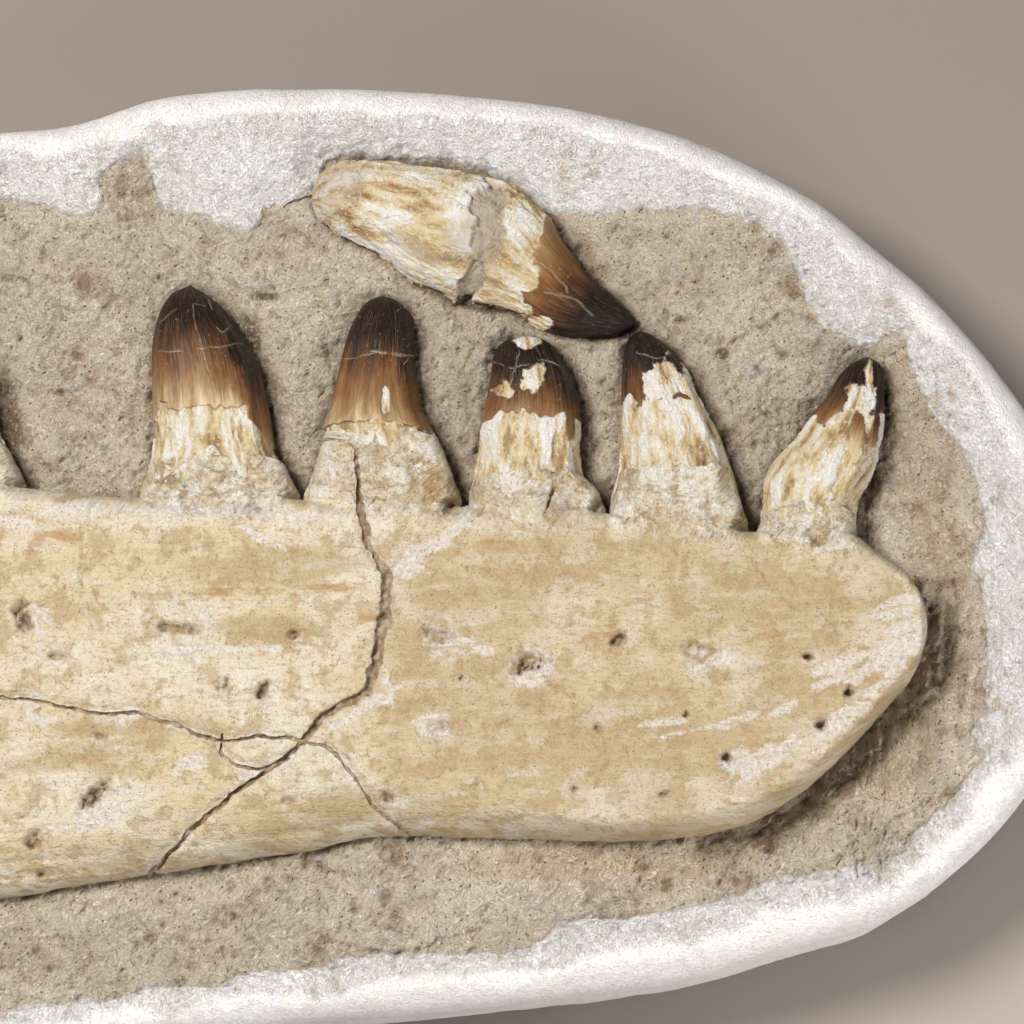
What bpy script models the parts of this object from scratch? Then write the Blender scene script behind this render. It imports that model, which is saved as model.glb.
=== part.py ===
"""A fossil mosasaur jaw as a museum shows it: a right dentary with its teeth, and one loose tooth, in a bed of
rock inside a plaster field jacket that lies on its back.

Sizes are in millimetres. Outlines are drawn as they look from the view that the constants below give: x runs
along the jaw towards its tip, and y from the lower edge of the bone towards the tips of the teeth. in_plan moves
them to where they lie seen from straight above, and z is up from the floor. Each finished mesh is moved so that
the jacket's middle is over the origin, and is written in metres.
"""

import math
from collections import namedtuple

import bmesh
import bpy
import numpy as np
from mathutils import Vector
from mathutils.bvhtree import BVHTree
from mathutils.geometry import delaunay_2d_cdt

MILLIMETRE = 0.001
GAP = 0.3  # left between pieces that touch

# The view that the outlines are drawn from: a camera over the lower edge, aimed at the drawing's origin
VIEW_LEVEL = 52.0
VIEW_DISTANCE = 1400.0
VIEW_SLANT = math.radians(80)

# Heights above the floor
TRAY_FLOOR = 12.0  # inside of the jacket, under the rock
RIM_CREST = 50.0
RIM_INNER = 46.6  # where the plaster meets the rock
ROCK_LEVEL = 45.2
FACE_LEVEL = 59.0  # about the middle of the bone's face
FAR_SIDE = 41.0  # where the jacket's side is seen edge on, beyond the middle and before it
NEAR_SIDE = 12.0
BONE_BED = 36.0  # floor of the hollow that the bone lies in
TOOTH_BED = 40.4  # floor of the hollow under each tooth
BONE_SIDE = 47.0  # top of the bone's steep side, where it begins to round over
TOOTH_AXIS = 46.4
MOST_ROCK = 46.2  # the rock stays just under the middle of the teeth
CLEAR_ABOVE = 90.0  # over everything, for cutters
CLEAR_BELOW = 30.0  # under the bone, for the cutters of the breaks

# The jacket, seen from above: x, y and the width of the rim there
RIM_ROUND = 11.0  # radius over the top outer edge
FOOT_ROUND = 13.0  # radius under the outer edge
JACKET_POINTS = 120
JACKET_OUTLINE = [
    (-128, 95, 17), (-110, 97, 19), (-90.5, 103, 19), (-78, 105, 30), (-66, 106, 31), (-57, 106, 18),
    (-47, 106, 14.5), (-28, 105.5, 14), (-8, 104, 15), (7, 102.3, 18.5), (22, 99.5, 25), (47, 92.3, 18),
    (77, 77.3, 19), (91, 66, 24), (105.5, 53.5, 12), (122.5, 34, 18), (133.5, 17, 17), (140, -5, 17),
    (141.5, -30, 17), (137, -55, 17), (118.3, -84, 16), (92, -104.5, 19), (70, -112, 21), (44.5, -119.5, 21),
    (10, -124.5, 19), (-18, -127.5, 18), (-60, -131.5, 15), (-128, -139.5, 14), (-218, -145, 16),
    (-303, -145.5, 19), (-378, -136, 20), (-423, -110, 21), (-446, -70, 19), (-449, -22, 18), (-438, 28, 21),
    (-410, 62, 20), (-365, 83, 17), (-303, 90, 19), (-215, 88, 16), (-165, 91, 18),
]

# The dentary's two edges, both from its rear end to its tip
JAW_STATIONS = 84
JAW_TIP = (103.8, -29.5)
JAW_REAR = (-412, -47)
LOWER_EDGE = [
    JAW_REAR, (-408, -70), (-393, -89.5), (-365, -103), (-328, -109), (-278, -110.5), (-228, -108),
    (-178, -103.3), (-128, -96.3), (-95.5, -91), (-53, -84.5), (-33, -80.8), (-8, -81), (32, -81.8),
    (47, -80.3), (59.5, -76.8), (69.5, -71.5), (78, -65), (87, -56), (95, -47), (100.5, -40.5), (103, -34),
    JAW_TIP,
]
UPPER_EDGE = [
    JAW_REAR, (-409, -22), (-398, -4.5), (-378, 3), (-353, 5), (-303, 6), (-228, 6.8), (-165.5, 7), (-128, 6),
    (-93, 3), (-53, 2.3), (-10.5, 1), (22, -0.8), (58, -5.3), (84.5, -6), (91, -10.5), (97.5, -15),
    (101.8, -21), (103.4, -25.5), JAW_TIP,
]
BULGE = 13.0  # the bone's face over its steep side
SWELLS = [(0.06, 45, 3), (0.03, 18, 4)]  # slow rises of the face: share of the bulge, size across, and seed
REAR_LOWER_ROUND = 22.0  # how far in from each edge the face keeps rising
FRONT_LOWER_ROUND = 10.0
ROUND_CHANGES = (-70, 30)  # from this x to that one it goes from the rear value to the front one
UPPER_ROUND = 6.0
END_ROUND = 7.0
STATION_EASE = 0.2  # how much closer together the rows are towards the ends
STATION_END = 0.06  # share of the length where they close up still more
# Shares of the way from the lower to the upper edge, closer together where the face rounds over
ACROSS = [0, 0.014, 0.04, 0.08, 0.14, 0.23, 0.35, 0.5, 0.65, 0.78, 0.87, 0.93, 0.97, 0.99, 1]

# The teeth that are seen whole, front one first: y and the left and right edges there, from the jaw to the tip
SEEN_TEETH = [
    [(-7, 61.3, 86), (0.5, 62.5, 86), (8, 63.3, 89.7), (13, 66, 91.7), (18, 70.6, 92.5), (24.3, 75, 93),
     (28, 78.2, 93), (34.3, 82.2, 92.7), (37, 85, 91.8), (38.5, 87.8, 89.5)],
    [(-3, 24, 59), (3, 25, 57), (10, 26.8, 55), (16, 27, 52.8), (23, 27.2, 50), (29.5, 27.4, 46.8),
     (35, 27.6, 44), (39, 27.9, 41.2), (42, 28.6, 38.2), (44, 30, 35.2), (45, 31.8, 33)],
    [(0, -11, 23.5), (5, -10.2, 21.5), (9, -9.3, 18), (16, -8.6, 17.3), (24, -7.2, 17.3), (31, -5.9, 16),
     (36, -5.1, 14), (40, -4.2, 11.5), (42.3, -2, 9.3), (43.5, 0.8, 5.5)],
    [(2.5, -52, -12.5), (10, -49.5, -15.3), (17, -47.5, -18), (22, -47, -20.3), (26, -45.7, -22.4),
     (30, -44.6, -23), (37, -43, -23.8), (44.3, -41, -24.4), (48, -39.4, -25), (51, -37.5, -26.8),
     (53, -35.2, -29.3), (53.8, -32.6, -31.9)],
    [(3.8, -93, -53), (11.8, -90.5, -57), (17, -89.8, -59.3), (25.5, -89.9, -60.5), (34.3, -90, -62.5),
     (41.8, -90, -65.5), (46, -89.3, -68.3), (50.5, -87.8, -71.8), (54.3, -85, -76.5), (56.5, -80.8, -80.2)],
]
# The teeth further back are like the last of these: x, size against it, and how much further the tip leans back
MODEL_TOOTH_X = -74.5
REAR_TEETH = [(-144, 1.03, 0), (-182, 1.03, 1), (-219, 0.66, 1), (-255.5, 0.97, 2), (-291, 0.9, 3), (-324, 0.8, 4),
              (-353.5, 0.67, 4)]
ROOT_SINK = 14.0  # how far each root reaches into the bone
ROOT_TAPER = 0.12  # share of its width that it loses on each side there
TOOTH_RELIEF = 0.46  # height over the axis, as a share of the width
MOST_RELIEF = 13.4

# The loose tooth above the jaw: points on its axis with half its width there, from root to tip
LOOSE_AXIS = [(-48.5, 78), (-45, 78.2), (-38, 78), (-28, 75.5), (-18, 71), (-8, 68), (-2.5, 65), (7, 58), (13.3, 53),
              (22, 49.5), (27.5, 47.8), (30.8, 47.5)]
LOOSE_HALF_WIDTH = [5.5, 8.5, 10.7, 12.6, 15.6, 16.8, 15.6, 10.9, 9.0, 6.0, 3.3, 0.7]
LOOSE_RELIEF = 0.8  # height over the axis, as a share of half the width
LOOSE_RINGS = 17
SECTION_POINTS = 9

# Breaks through the bone, each a path with its full width at the start and at the end
Break = namedtuple("Break", "path start_width end_width")
BREAKS = [
    Break([(-56, 21.5), (-47.5, 19.2), (-41.8, 18), (-38.5, 15.5)], 0.7, 0.9),
    Break([(-38.8, 16.2), (-38.5, 8), (-37.5, 0.5), (-36.3, -7), (-34, -11.5), (-30.8, -15.8)], 1.1, 2.4),
    Break([(-31.2, -15), (-31.5, -23.3), (-32.8, -30.8), (-34.5, -39), (-36, -45.5)], 2.6, 3.0),
    Break([(-35.4, -44.6), (-41.8, -48), (-48, -52.3), (-52.6, -58)], 2.6, 1.9),
    Break([(-52, -57.2), (-58, -62.5), (-65.5, -67.5), (-75, -74.5), (-83, -81.5), (-89.3, -87.5),
           (-97, -93.5), (-104, -100)], 1.5, 0.9),
    Break([(-51, -57), (-62.5, -56.3), (-71.8, -57), (-78, -55.8), (-86.8, -52.5), (-94.3, -50.3),
           (-103, -50.5), (-113, -48.5), (-128, -46.3), (-150, -44.5), (-173, -47), (-208, -52.5),
           (-243, -48.3), (-284, -50)], 1.0, 0.8),
    Break([(-72.5, -55.5), (-72.5, -60), (-68.5, -63.3), (-63.5, -64.3), (-55.5, -61.4)], 0.8, 0.8),
    Break([(-52, -57.2), (-46, -59.3), (-41.8, -63.3), (-37.5, -69), (-33.5, -74), (-29.8, -77),
           (-23.5, -80.3), (-17, -86)], 0.9, 0.8),
    Break([(-272, 30), (-273, 4), (-270, -12), (-276, -28), (-282, -43), (-280, -62), (-287, -78), (-291, -95),
           (-289, -125)], 1.5, 1.3),
]
BREAK_STEP = 4.0
BREAK_WOBBLE = 0.35

# The pieces that the breaks leave, each with a point that lies on it
PIECES = {
    "dentary_front": (40, -50),
    "dentary_wedge": (-60, -77),
    "dentary_chip": (-64, -60.3),
    "dentary_lower": (-140, -75),
    "dentary_upper": (-140, -12),
    "dentary_rear": (-340, -60),
}

# Nerve openings along the bone: x, y, half length, half width, turn in degrees
Foramen = namedtuple("Foramen", "x y length width turn")
FORAMINA = [
    Foramen(3.8, -37.2, 4.8, 3.8, 20), Foramen(47, -35, 5.2, 3.2, -10), Foramen(27, -31.5, 2.8, 2.2, 40),
    Foramen(84.5, -44, 2.6, 1.8, 60), Foramen(77.3, -53.3, 2.6, 2.0, 30), Foramen(54, -61.3, 2.8, 2.3, -30),
    Foramen(-18.5, -30.5, 5.5, 2.4, -15), Foramen(-18.8, -53.8, 2.8, 2.4, 0), Foramen(-31, -71.3, 2.6, 1.8, -20),
    Foramen(-62.5, -44.5, 4.0, 1.8, 55), Foramen(-54.8, -30.8, 2.8, 1.8, 0), Foramen(-83, -28.8, 9.0, 1.8, -3),
    Foramen(-122.5, -26.5, 6.0, 3.6, 70), Foramen(-104.3, -71.5, 5.6, 3.2, 40), Foramen(-119.3, -82, 4.0, 2.2, 25),
    Foramen(-163, -34, 4.4, 2.8, 10), Foramen(-201, -27, 4.8, 2.6, -5), Foramen(-238, -33, 3.8, 2.4, 15),
    Foramen(-305, -31, 4.6, 2.4, 0), Foramen(-338, -38, 3.4, 2.2, 20),
]
FORAMEN_DEPTH = 2.6
FORAMEN_RISE = 0.3  # of its middle over the face

# The rock's face: a strip along the jaw is worked low, and a bench by the plaster stands higher
STRIP_DEPTH = 1.6
STRIP_BELOW = 14.0  # how far the strip reaches beyond the bone's lower edge
STRIP_ABOVE = 10.0
STRIP_SLOPE = 12.0
BENCH_RISE = 1.0
BENCH_WIDTH = 26.0
ROCK_LUMPS = [(1.0, 37, 11), (0.6, 17, 12)]  # height, size across, and seed
LUMPS_FROM_RIM = 15.0  # where they have their full height
ROCK_STEP = 9.5  # between the points of the face
ROCK_SHIFT = 1.6  # how far each point may be off its place

# The low hollow worked round the jaw's tip: x and y where it sets in, and where it has its full depth
HOLLOW_RIGHT = ((84, 93), (38, 18))
HOLLOW_BELOW = ((25, 75), (-8, -20))
HOLLOW_DEPTH = 5.0
HOLLOW_REACH = 17.0  # from the bone's edge
HOLLOW_FLOOR = 5.1  # how far out it keeps its full depth
HOLLOW_FROM_RIM = 9.0

BED_CLEARANCE = 0.45  # sideways between a bone or tooth and its hollow


def smooth_curve(points, closed=False, steps=14):
    """A smooth curve through the points, as a fine polyline: a centripetal Catmull-Rom spline."""
    points = np.array(points, float)
    if closed:
        points = np.vstack([points[-1], points, points[:2]])
    else:
        points = np.vstack([2 * points[0] - points[1], points, 2 * points[-1] - points[-2]])
    curve = []
    for p0, p1, p2, p3 in zip(points, points[1:], points[2:], points[3:]):
        knots = np.cumsum([0, *(np.linalg.norm(b - a) ** 0.5 for a, b in ((p0, p1), (p1, p2), (p2, p3)))])
        k0, k1, k2, k3 = knots
        for k in np.linspace(k1, k2, steps, endpoint=False):
            a1 = ((k1 - k) * p0 + (k - k0) * p1) / (k1 - k0)
            a2 = ((k2 - k) * p1 + (k - k1) * p2) / (k2 - k1)
            a3 = ((k3 - k) * p2 + (k - k2) * p3) / (k3 - k2)
            b1 = ((k2 - k) * a1 + (k - k0) * a2) / (k2 - k0)
            b2 = ((k3 - k) * a2 + (k - k1) * a3) / (k3 - k1)
            curve.append(((k2 - k) * b1 + (k - k1) * b2) / (k2 - k1))
    if not closed:
        curve.append(points[-2])
    return np.array(curve)


def evenly(curve, count, closed=False):
    """count points at equal distances along a polyline."""
    if closed:
        curve = np.vstack([curve, curve[:1]])
    along = np.concatenate([[0], np.cumsum(np.linalg.norm(np.diff(curve[:, :2], axis=0), axis=1))])
    wanted = np.linspace(0, along[-1], count, endpoint=not closed)
    return np.column_stack([np.interp(wanted, along, column) for column in curve.T])


def area(polygon):
    x, y = polygon[:, 0], polygon[:, 1]
    return 0.5 * np.sum(x * np.roll(y, -1) - y * np.roll(x, -1))


def outward(polygon):
    """Unit normals out of a closed polygon that runs anticlockwise."""
    tangent = np.roll(polygon, -1, axis=0) - np.roll(polygon, 1, axis=0)
    tangent /= np.linalg.norm(tangent, axis=1)[:, None]
    return np.column_stack([tangent[:, 1], -tangent[:, 0]])


def sideways(path):
    """Unit normals to the right of an open path."""
    tangent = np.gradient(path, axis=0)
    tangent /= np.linalg.norm(tangent, axis=1)[:, None]
    return np.column_stack([tangent[:, 1], -tangent[:, 0]])


def lattice(column, row, seed):
    """A fixed value from -1 to 1 for each whole-number corner."""
    mixed = (column * 374761393 + row * 668265263 + seed * 974634777) & 0xFFFFFFFF
    mixed = ((mixed ^ (mixed >> 13)) * 1274126177) & 0xFFFFFFFF
    return ((mixed ^ (mixed >> 16)) & 0xFFFF) / 32767.5 - 1


def noise(x, y, size, seed=0):
    """Smooth noise from -1 to 1 with lumps about size across."""
    x, y = np.asarray(x, float) / size, np.asarray(y, float) / size
    column, row = np.floor(x).astype(np.int64), np.floor(y).astype(np.int64)
    u, v = x - column, y - row
    u, v = u * u * (3 - 2 * u), v * v * (3 - 2 * v)
    near = lattice(column, row, seed) * (1 - u) + lattice(column + 1, row, seed) * u
    far = lattice(column, row + 1, seed) * (1 - u) + lattice(column + 1, row + 1, seed) * u
    return near * (1 - v) + far * v


def step(low, high, value):
    """Rises smoothly from 0 at low to 1 at high."""
    share = np.clip((np.asarray(value, float) - low) / (high - low), 0, 1)
    return share * share * (3 - 2 * share)


def in_plan(drawn, level):
    """Where drawn points lie seen from straight above, when they are at this level."""
    drawn = np.array(drawn, float)
    x, y = drawn[..., 0], drawn[..., 1]
    rise = level - VIEW_LEVEL
    slant, lean = math.sin(VIEW_SLANT), math.cos(VIEW_SLANT)
    plan_y = y * (VIEW_DISTANCE - rise * slant) - VIEW_DISTANCE * rise * lean
    plan_y = plan_y / (VIEW_DISTANCE * slant - y * lean)
    plan_x = x * (VIEW_DISTANCE + plan_y * lean - rise * slant) / VIEW_DISTANCE
    return np.stack([plan_x, plan_y], axis=-1)


def jacket_outline():
    """The jacket's outer edge in plan, with the rim's width at each point."""
    drawn = smooth_curve(JACKET_OUTLINE, closed=True)
    if area(drawn) < 0:
        drawn = drawn[::-1]
    edge, width = drawn[:, :2], drawn[:, 2:]
    level = NEAR_SIDE + (FAR_SIDE - NEAR_SIDE) * step(-90, -40, edge[:, 1])
    outer = in_plan(edge, level)
    inner = in_plan(edge - width * outward(edge), RIM_INNER)
    width = np.linalg.norm(inner - outer, axis=1)
    return evenly(np.column_stack([outer, width]), JACKET_POINTS, closed=True)


OUTLINE, RIM_WIDTH = np.split(jacket_outline(), [2], axis=1)
MIDDLE = (OUTLINE.min(axis=0) + OUTLINE.max(axis=0)) / 2
LOWER_CURVE = in_plan(smooth_curve(LOWER_EDGE), BONE_SIDE)
UPPER_CURVE = in_plan(smooth_curve(UPPER_EDGE), BONE_SIDE)
TIP_X = LOWER_CURVE[-1, 0]
REAR_X = LOWER_CURVE[0, 0]


def lower_edge(x):
    return np.interp(x, LOWER_CURVE[:, 0], LOWER_CURVE[:, 1])


def upper_edge(x):
    return np.interp(x, UPPER_CURVE[:, 0], UPPER_CURVE[:, 1])


def rounded(distance, radius):
    """Rises from 0 at the edge to 1 at radius, as a quarter circle does."""
    share = np.clip(np.asarray(distance, float) / radius, 0, 1)
    return np.sqrt(1 - (1 - share) ** 2)


def bone_face(x, y):
    """Height of the dentary's outer face."""
    lower_round = REAR_LOWER_ROUND + (FRONT_LOWER_ROUND - REAR_LOWER_ROUND) * step(*ROUND_CHANGES, x)
    rise = rounded(y - lower_edge(x), lower_round) * rounded(upper_edge(x) - y, UPPER_ROUND)
    rise = rise * rounded(TIP_X - x, END_ROUND) * rounded(x - REAR_X, END_ROUND)
    swell = 1 + sum(share * noise(x, y, size, seed) for share, size, seed in SWELLS)
    return BONE_SIDE + BULGE * rise * swell


def plain_material(name, colour, roughness):
    material = bpy.data.materials.new(name)
    material.use_nodes = True
    shader = material.node_tree.nodes["Principled BSDF"]
    shader.inputs["Base Color"].default_value = (*colour, 1)
    shader.inputs["Roughness"].default_value = roughness
    shader.inputs["Metallic"].default_value = 0
    return material


def make_object(name, points, faces, material=None):
    """An object from points in the drawing frame, with its origin in the middle of its box."""
    points = np.array(points, float)
    points[:, :2] -= MIDDLE
    points *= MILLIMETRE
    origin = (points.min(axis=0) + points.max(axis=0)) / 2
    mesh = bpy.data.meshes.new(name)
    mesh.from_pydata([tuple(p) for p in points - origin], [], faces)
    shape = bmesh.new()
    shape.from_mesh(mesh)
    bmesh.ops.recalc_face_normals(shape, faces=shape.faces)
    shape.to_mesh(mesh)
    shape.free()
    made = bpy.data.objects.new(name, mesh)
    made.location = origin
    bpy.context.scene.collection.objects.link(made)
    if material:
        mesh.materials.append(material)
    return made


def prism(name, polygon, bottom, top):
    """A closed upright prism on a polygon."""
    count = len(polygon)
    points = [(x, y, z) for z in (bottom, top) for x, y in polygon]
    sides = [(i, (i + 1) % count, count + (i + 1) % count, count + i) for i in range(count)]
    return make_object(name, points, [tuple(range(count)), tuple(range(count, 2 * count)), *sides])


def stack_rings(rings):
    """Points and faces of a closed tube through rings of equal length, with a flat cap at both ends."""
    size = len(rings[0])
    points = np.vstack(rings)
    faces = [tuple(range(size)), tuple(range(len(points) - size, len(points)))]
    for ring in range(len(rings) - 1):
        a, b = ring * size, (ring + 1) * size
        faces += [(a + i, a + (i + 1) % size, b + (i + 1) % size, b + i) for i in range(size)]
    return points, faces


def arched_loft(name, axis, side, half_width, relief, material=None):
    """A half-round body on a path: upright sides up to TOOTH_AXIS and an arch of the given relief over them."""
    angles = np.linspace(0, math.pi, SECTION_POINTS)
    rings = []
    for (x, y), (nx, ny), half, rise in zip(axis, side, half_width, relief):
        across = np.concatenate([[half], half * np.cos(angles), [-half]])
        up = np.concatenate([[TOOTH_BED + GAP], TOOTH_AXIS + rise * np.sin(angles), [TOOTH_BED + GAP]])
        rings.append(np.column_stack([x + nx * across, y + ny * across, up]))
    return make_object(name, *stack_rings(rings), material)


def footprint(axis, side, half_width, clearance):
    """The outline that a loft covers on the rock, widened by the clearance on every side."""
    axis = axis.copy()
    ahead = axis[-1] - axis[-2]
    axis[-1] += clearance * ahead / np.linalg.norm(ahead)
    behind = axis[0] - axis[1]
    axis[0] += clearance * behind / np.linalg.norm(behind)
    reach = (np.array(half_width) + clearance)[:, None]
    return np.vstack([axis + side * reach, (axis - side * reach)[::-1]])


def tooth_rows():
    """For each tooth, y and its left and right edges in plan, from the jaw to the tip."""
    model = np.array(SEEN_TEETH[-1], float)
    share = (model[:, :1] - model[0, 0]) / (model[-1, 0] - model[0, 0])
    drawn = [np.array(rows, float) for rows in SEEN_TEETH]
    for x, size, lean in REAR_TEETH:
        edges = x + size * (model[:, 1:] - MODEL_TOOTH_X) - lean * share**2
        drawn.append(np.column_stack([float(upper_edge(x)) + size * (model[:, 0] - model[0, 0]), edges]))
    teeth = []
    for rows in drawn:
        left, right = (in_plan(rows[:, [side, 0]], TOOTH_AXIS) for side in (1, 2))
        teeth.append(np.column_stack([left[:, 1], left[:, 0], right[:, 0]]))
    return teeth


def tooth_profile(rows):
    """Axis, sideways directions, half widths and relief of a tooth, from the end of its sunk root to its tip."""
    root = rows[0] - [ROOT_SINK, 0, 0]
    root[1:] += (rows[0, 2] - rows[0, 1]) * np.array([ROOT_TAPER, -ROOT_TAPER])
    rows = np.vstack([root, rows])
    axis = np.column_stack([(rows[:, 1] + rows[:, 2]) / 2, rows[:, 0]])
    half_width = (rows[:, 2] - rows[:, 1]) / 2
    relief = np.minimum(2 * TOOTH_RELIEF * half_width, MOST_RELIEF)
    relief[0] = relief[1] / 2
    return axis, np.tile([1.0, 0.0], (len(rows), 1)), half_width, relief


def loose_profile():
    """Axis, sideways directions, half widths and relief of the loose tooth."""
    curve = in_plan(smooth_curve(LOOSE_AXIS), TOOTH_AXIS)
    along = np.linspace(0, len(LOOSE_AXIS) - 1, len(curve))
    wanted = np.linspace(0, len(LOOSE_AXIS) - 1, LOOSE_RINGS)
    axis = np.column_stack([np.interp(wanted, along, curve[:, i]) for i in (0, 1)])
    half_width = np.interp(wanted, range(len(LOOSE_HALF_WIDTH)), LOOSE_HALF_WIDTH)
    return axis, sideways(axis), half_width, LOOSE_RELIEF * half_width


def combine(target, tools, operation):
    """Joins or cuts the target with the tools by one Boolean, applies it, and removes the tools."""
    group = bpy.data.collections.new("tools")
    for tool in tools:
        group.objects.link(tool)
    modifier = target.modifiers.new(operation.title(), "BOOLEAN")
    modifier.operation = operation
    modifier.solver = "EXACT"
    modifier.operand_type = "COLLECTION"
    modifier.collection = group
    graph = bpy.context.evaluated_depsgraph_get()
    result = bpy.data.meshes.new_from_object(target.evaluated_get(graph))
    target.modifiers.clear()
    target.data = result
    for tool in tools:
        bpy.data.objects.remove(tool)
    bpy.data.collections.remove(group)


def closed_bodies(mesh):
    """The mesh's separate closed surfaces, each a list of its faces' indices."""
    shape = bmesh.new()
    shape.from_mesh(mesh)
    left, bodies = set(shape.faces), []
    while left:
        queue, body = [left.pop()], []
        while queue:
            face = queue.pop()
            body.append(face.index)
            for edge in face.edges:
                fresh = [f for f in edge.link_faces if f in left]
                left.difference_update(fresh)
                queue += fresh
        bodies.append(body)
    shape.free()
    return bodies


def body_object(name, source, body, material):
    """A new object from some of another object's faces."""
    mesh = source.data
    used = sorted({v for f in body for v in mesh.polygons[f].vertices})
    index = {v: i for i, v in enumerate(used)}
    offset = np.array([*MIDDLE, 0])
    points = [np.array(source.matrix_world @ mesh.vertices[v].co) / MILLIMETRE + offset for v in used]
    faces = [tuple(index[v] for v in mesh.polygons[f].vertices) for f in body]
    return make_object(name, points, faces, material)


def face_under(mesh_object, x, y):
    """The index of the face straight below a point of the drawing frame."""
    tree = BVHTree.FromObject(mesh_object, bpy.context.evaluated_depsgraph_get())
    above = Vector(((x - MIDDLE[0]) * MILLIMETRE, (y - MIDDLE[1]) * MILLIMETRE, CLEAR_ABOVE * MILLIMETRE))
    return tree.ray_cast(above - mesh_object.location, Vector((0, 0, -1)))[2]


def make_jacket(material):
    """The plaster tray: a flat foot, a rounded outer side, a rounded rim and a hollow for the rock."""
    turns = np.linspace(0, math.pi / 2, 5)
    section = [(FOOT_ROUND * (1 - math.sin(a)), FOOT_ROUND * (1 - math.cos(a))) for a in turns]
    section += [(RIM_ROUND * (1 - math.cos(a)), RIM_CREST - RIM_ROUND * (1 - math.sin(a))) for a in turns]
    section += [(RIM_WIDTH, RIM_INNER), (RIM_WIDTH, TRAY_FLOOR)]
    normal = outward(OUTLINE)
    rings = [np.column_stack([OUTLINE - inset * normal, np.full(len(OUTLINE), z)]) for inset, z in section]
    return make_object("plaster_jacket", *stack_rings(rings), material)


def rock_face(x, y, from_rim):
    """Height of the rock: worked low along the jaw, with a raised bench that meets the plaster."""
    strip = np.minimum(y - lower_edge(x) + STRIP_BELOW, upper_edge(x) + STRIP_ABOVE - y) / STRIP_SLOPE
    bench = np.clip(1 - from_rim / BENCH_WIDTH, 0, 1)
    lumps = sum(height * noise(x, y, size, seed) for height, size, seed in ROCK_LUMPS)
    face = ROCK_LEVEL - STRIP_DEPTH * np.clip(strip, 0, 1) + BENCH_RISE * bench
    face = face + lumps * np.clip(from_rim / LUMPS_FROM_RIM, 0.1, 1)
    face = face - HOLLOW_DEPTH * hollow_share(x, y) * np.clip(from_rim / HOLLOW_FROM_RIM, 0, 1)
    return np.minimum(face, MOST_ROCK)


def hollow_share(x, y):
    """1 in the hollow beside the jaw's tip, falling to 0 where the rock is at its full height."""
    edge = np.vstack([LOWER_CURVE, UPPER_CURVE])
    edge = edge[edge[:, 0] > 0]
    reach = np.array([np.linalg.norm(edge - p, axis=1).min() for p in np.column_stack([x, y])])
    sides = [step(*from_x, x) * step(*from_y, y) for from_x, from_y in (HOLLOW_RIGHT, HOLLOW_BELOW)]
    return np.maximum(*sides) * step(HOLLOW_REACH, HOLLOW_FLOOR, reach)


def make_rock(material):
    """The rock in the jacket: a flat back, an upright side, and a rough face."""
    border = OUTLINE - (RIM_WIDTH + GAP) * outward(OUTLINE)
    low, high = border.min(axis=0), border.max(axis=0)
    points = []
    for row, y in enumerate(np.arange(low[1], high[1], ROCK_STEP * math.sqrt(0.75))):
        for x in np.arange(low[0], high[0], ROCK_STEP):
            points.append((x + ROCK_STEP / 2 * (row % 2) + ROCK_SHIFT * float(noise(x, y, 5, 21)),
                           y + ROCK_SHIFT * float(noise(x, y, 5, 22))))
    points = np.array(points)
    apart = np.array([np.linalg.norm(border - p, axis=1).min() for p in points])
    points = points[apart > 0.55 * ROCK_STEP]
    count = len(border)
    ring = [(i, (i + 1) % count) for i in range(count)]
    flat = [Vector(p) for p in np.vstack([border, points])]
    flat, _, faces, *_ = delaunay_2d_cdt(flat, ring, [list(range(count))], 1, 1e-4)
    flat = np.array([tuple(p) for p in flat])
    from_rim = np.array([np.linalg.norm(border - p, axis=1).min() for p in flat])
    height = rock_face(flat[:, 0], flat[:, 1], from_rim)
    top = np.column_stack([flat, height])
    base = np.column_stack([border, np.full(count, TRAY_FLOOR + GAP)])
    rim_ids = [int(np.linalg.norm(flat - p, axis=1).argmin()) for p in border]
    first = len(top)
    faces = [tuple(f) for f in faces]
    faces += [(rim_ids[i], rim_ids[(i + 1) % count], first + (i + 1) % count, first + i) for i in range(count)]
    faces.append(tuple(first + i for i in range(count)))
    return make_object("rock_matrix", np.vstack([top, base]), faces, material)


def jaw_stations():
    """x of each row of points along the jaw, closer together towards its two rounded ends."""
    share = np.linspace(0, 1, JAW_STATIONS + 1)
    eased = 0.5 - 0.5 * np.cos(math.pi * share)
    share = (1 - STATION_EASE) * share + STATION_EASE * eased
    near_rear = share < STATION_END
    near_tip = share > 1 - STATION_END
    share[near_rear] = share[near_rear] ** 2 / STATION_END
    share[near_tip] = 1 - (1 - share[near_tip]) ** 2 / STATION_END
    return REAR_X + (TIP_X - REAR_X) * share


def make_bone(material):
    """The dentary as one body: a domed outer face, steep sides and a flat underside."""
    rows, under = [], []
    bottom = BONE_BED + GAP
    for x in jaw_stations()[1:-1]:
        low, high = float(lower_edge(x)), float(upper_edge(x))
        ys = low + (high - low) * np.array(ACROSS)
        rows.append([(x, y, float(bone_face(x, y))) for y in ys])
        under.append([(x, low, bottom), (x, high, bottom)])
    rings = [np.array([*row, under_row[1], under_row[0]]) for row, under_row in zip(rows, under)]
    points, faces = stack_rings(rings)
    return make_object("dentary", points, faces, material)


def bone_footprint():
    """The outline of the hollow that the bone lies in."""
    x = jaw_stations()[1:-1]
    outline = np.vstack([np.column_stack([x, lower_edge(x)]), np.column_stack([x, upper_edge(x)])[::-1]])
    return outline + BED_CLEARANCE * outward(outline)


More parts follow.
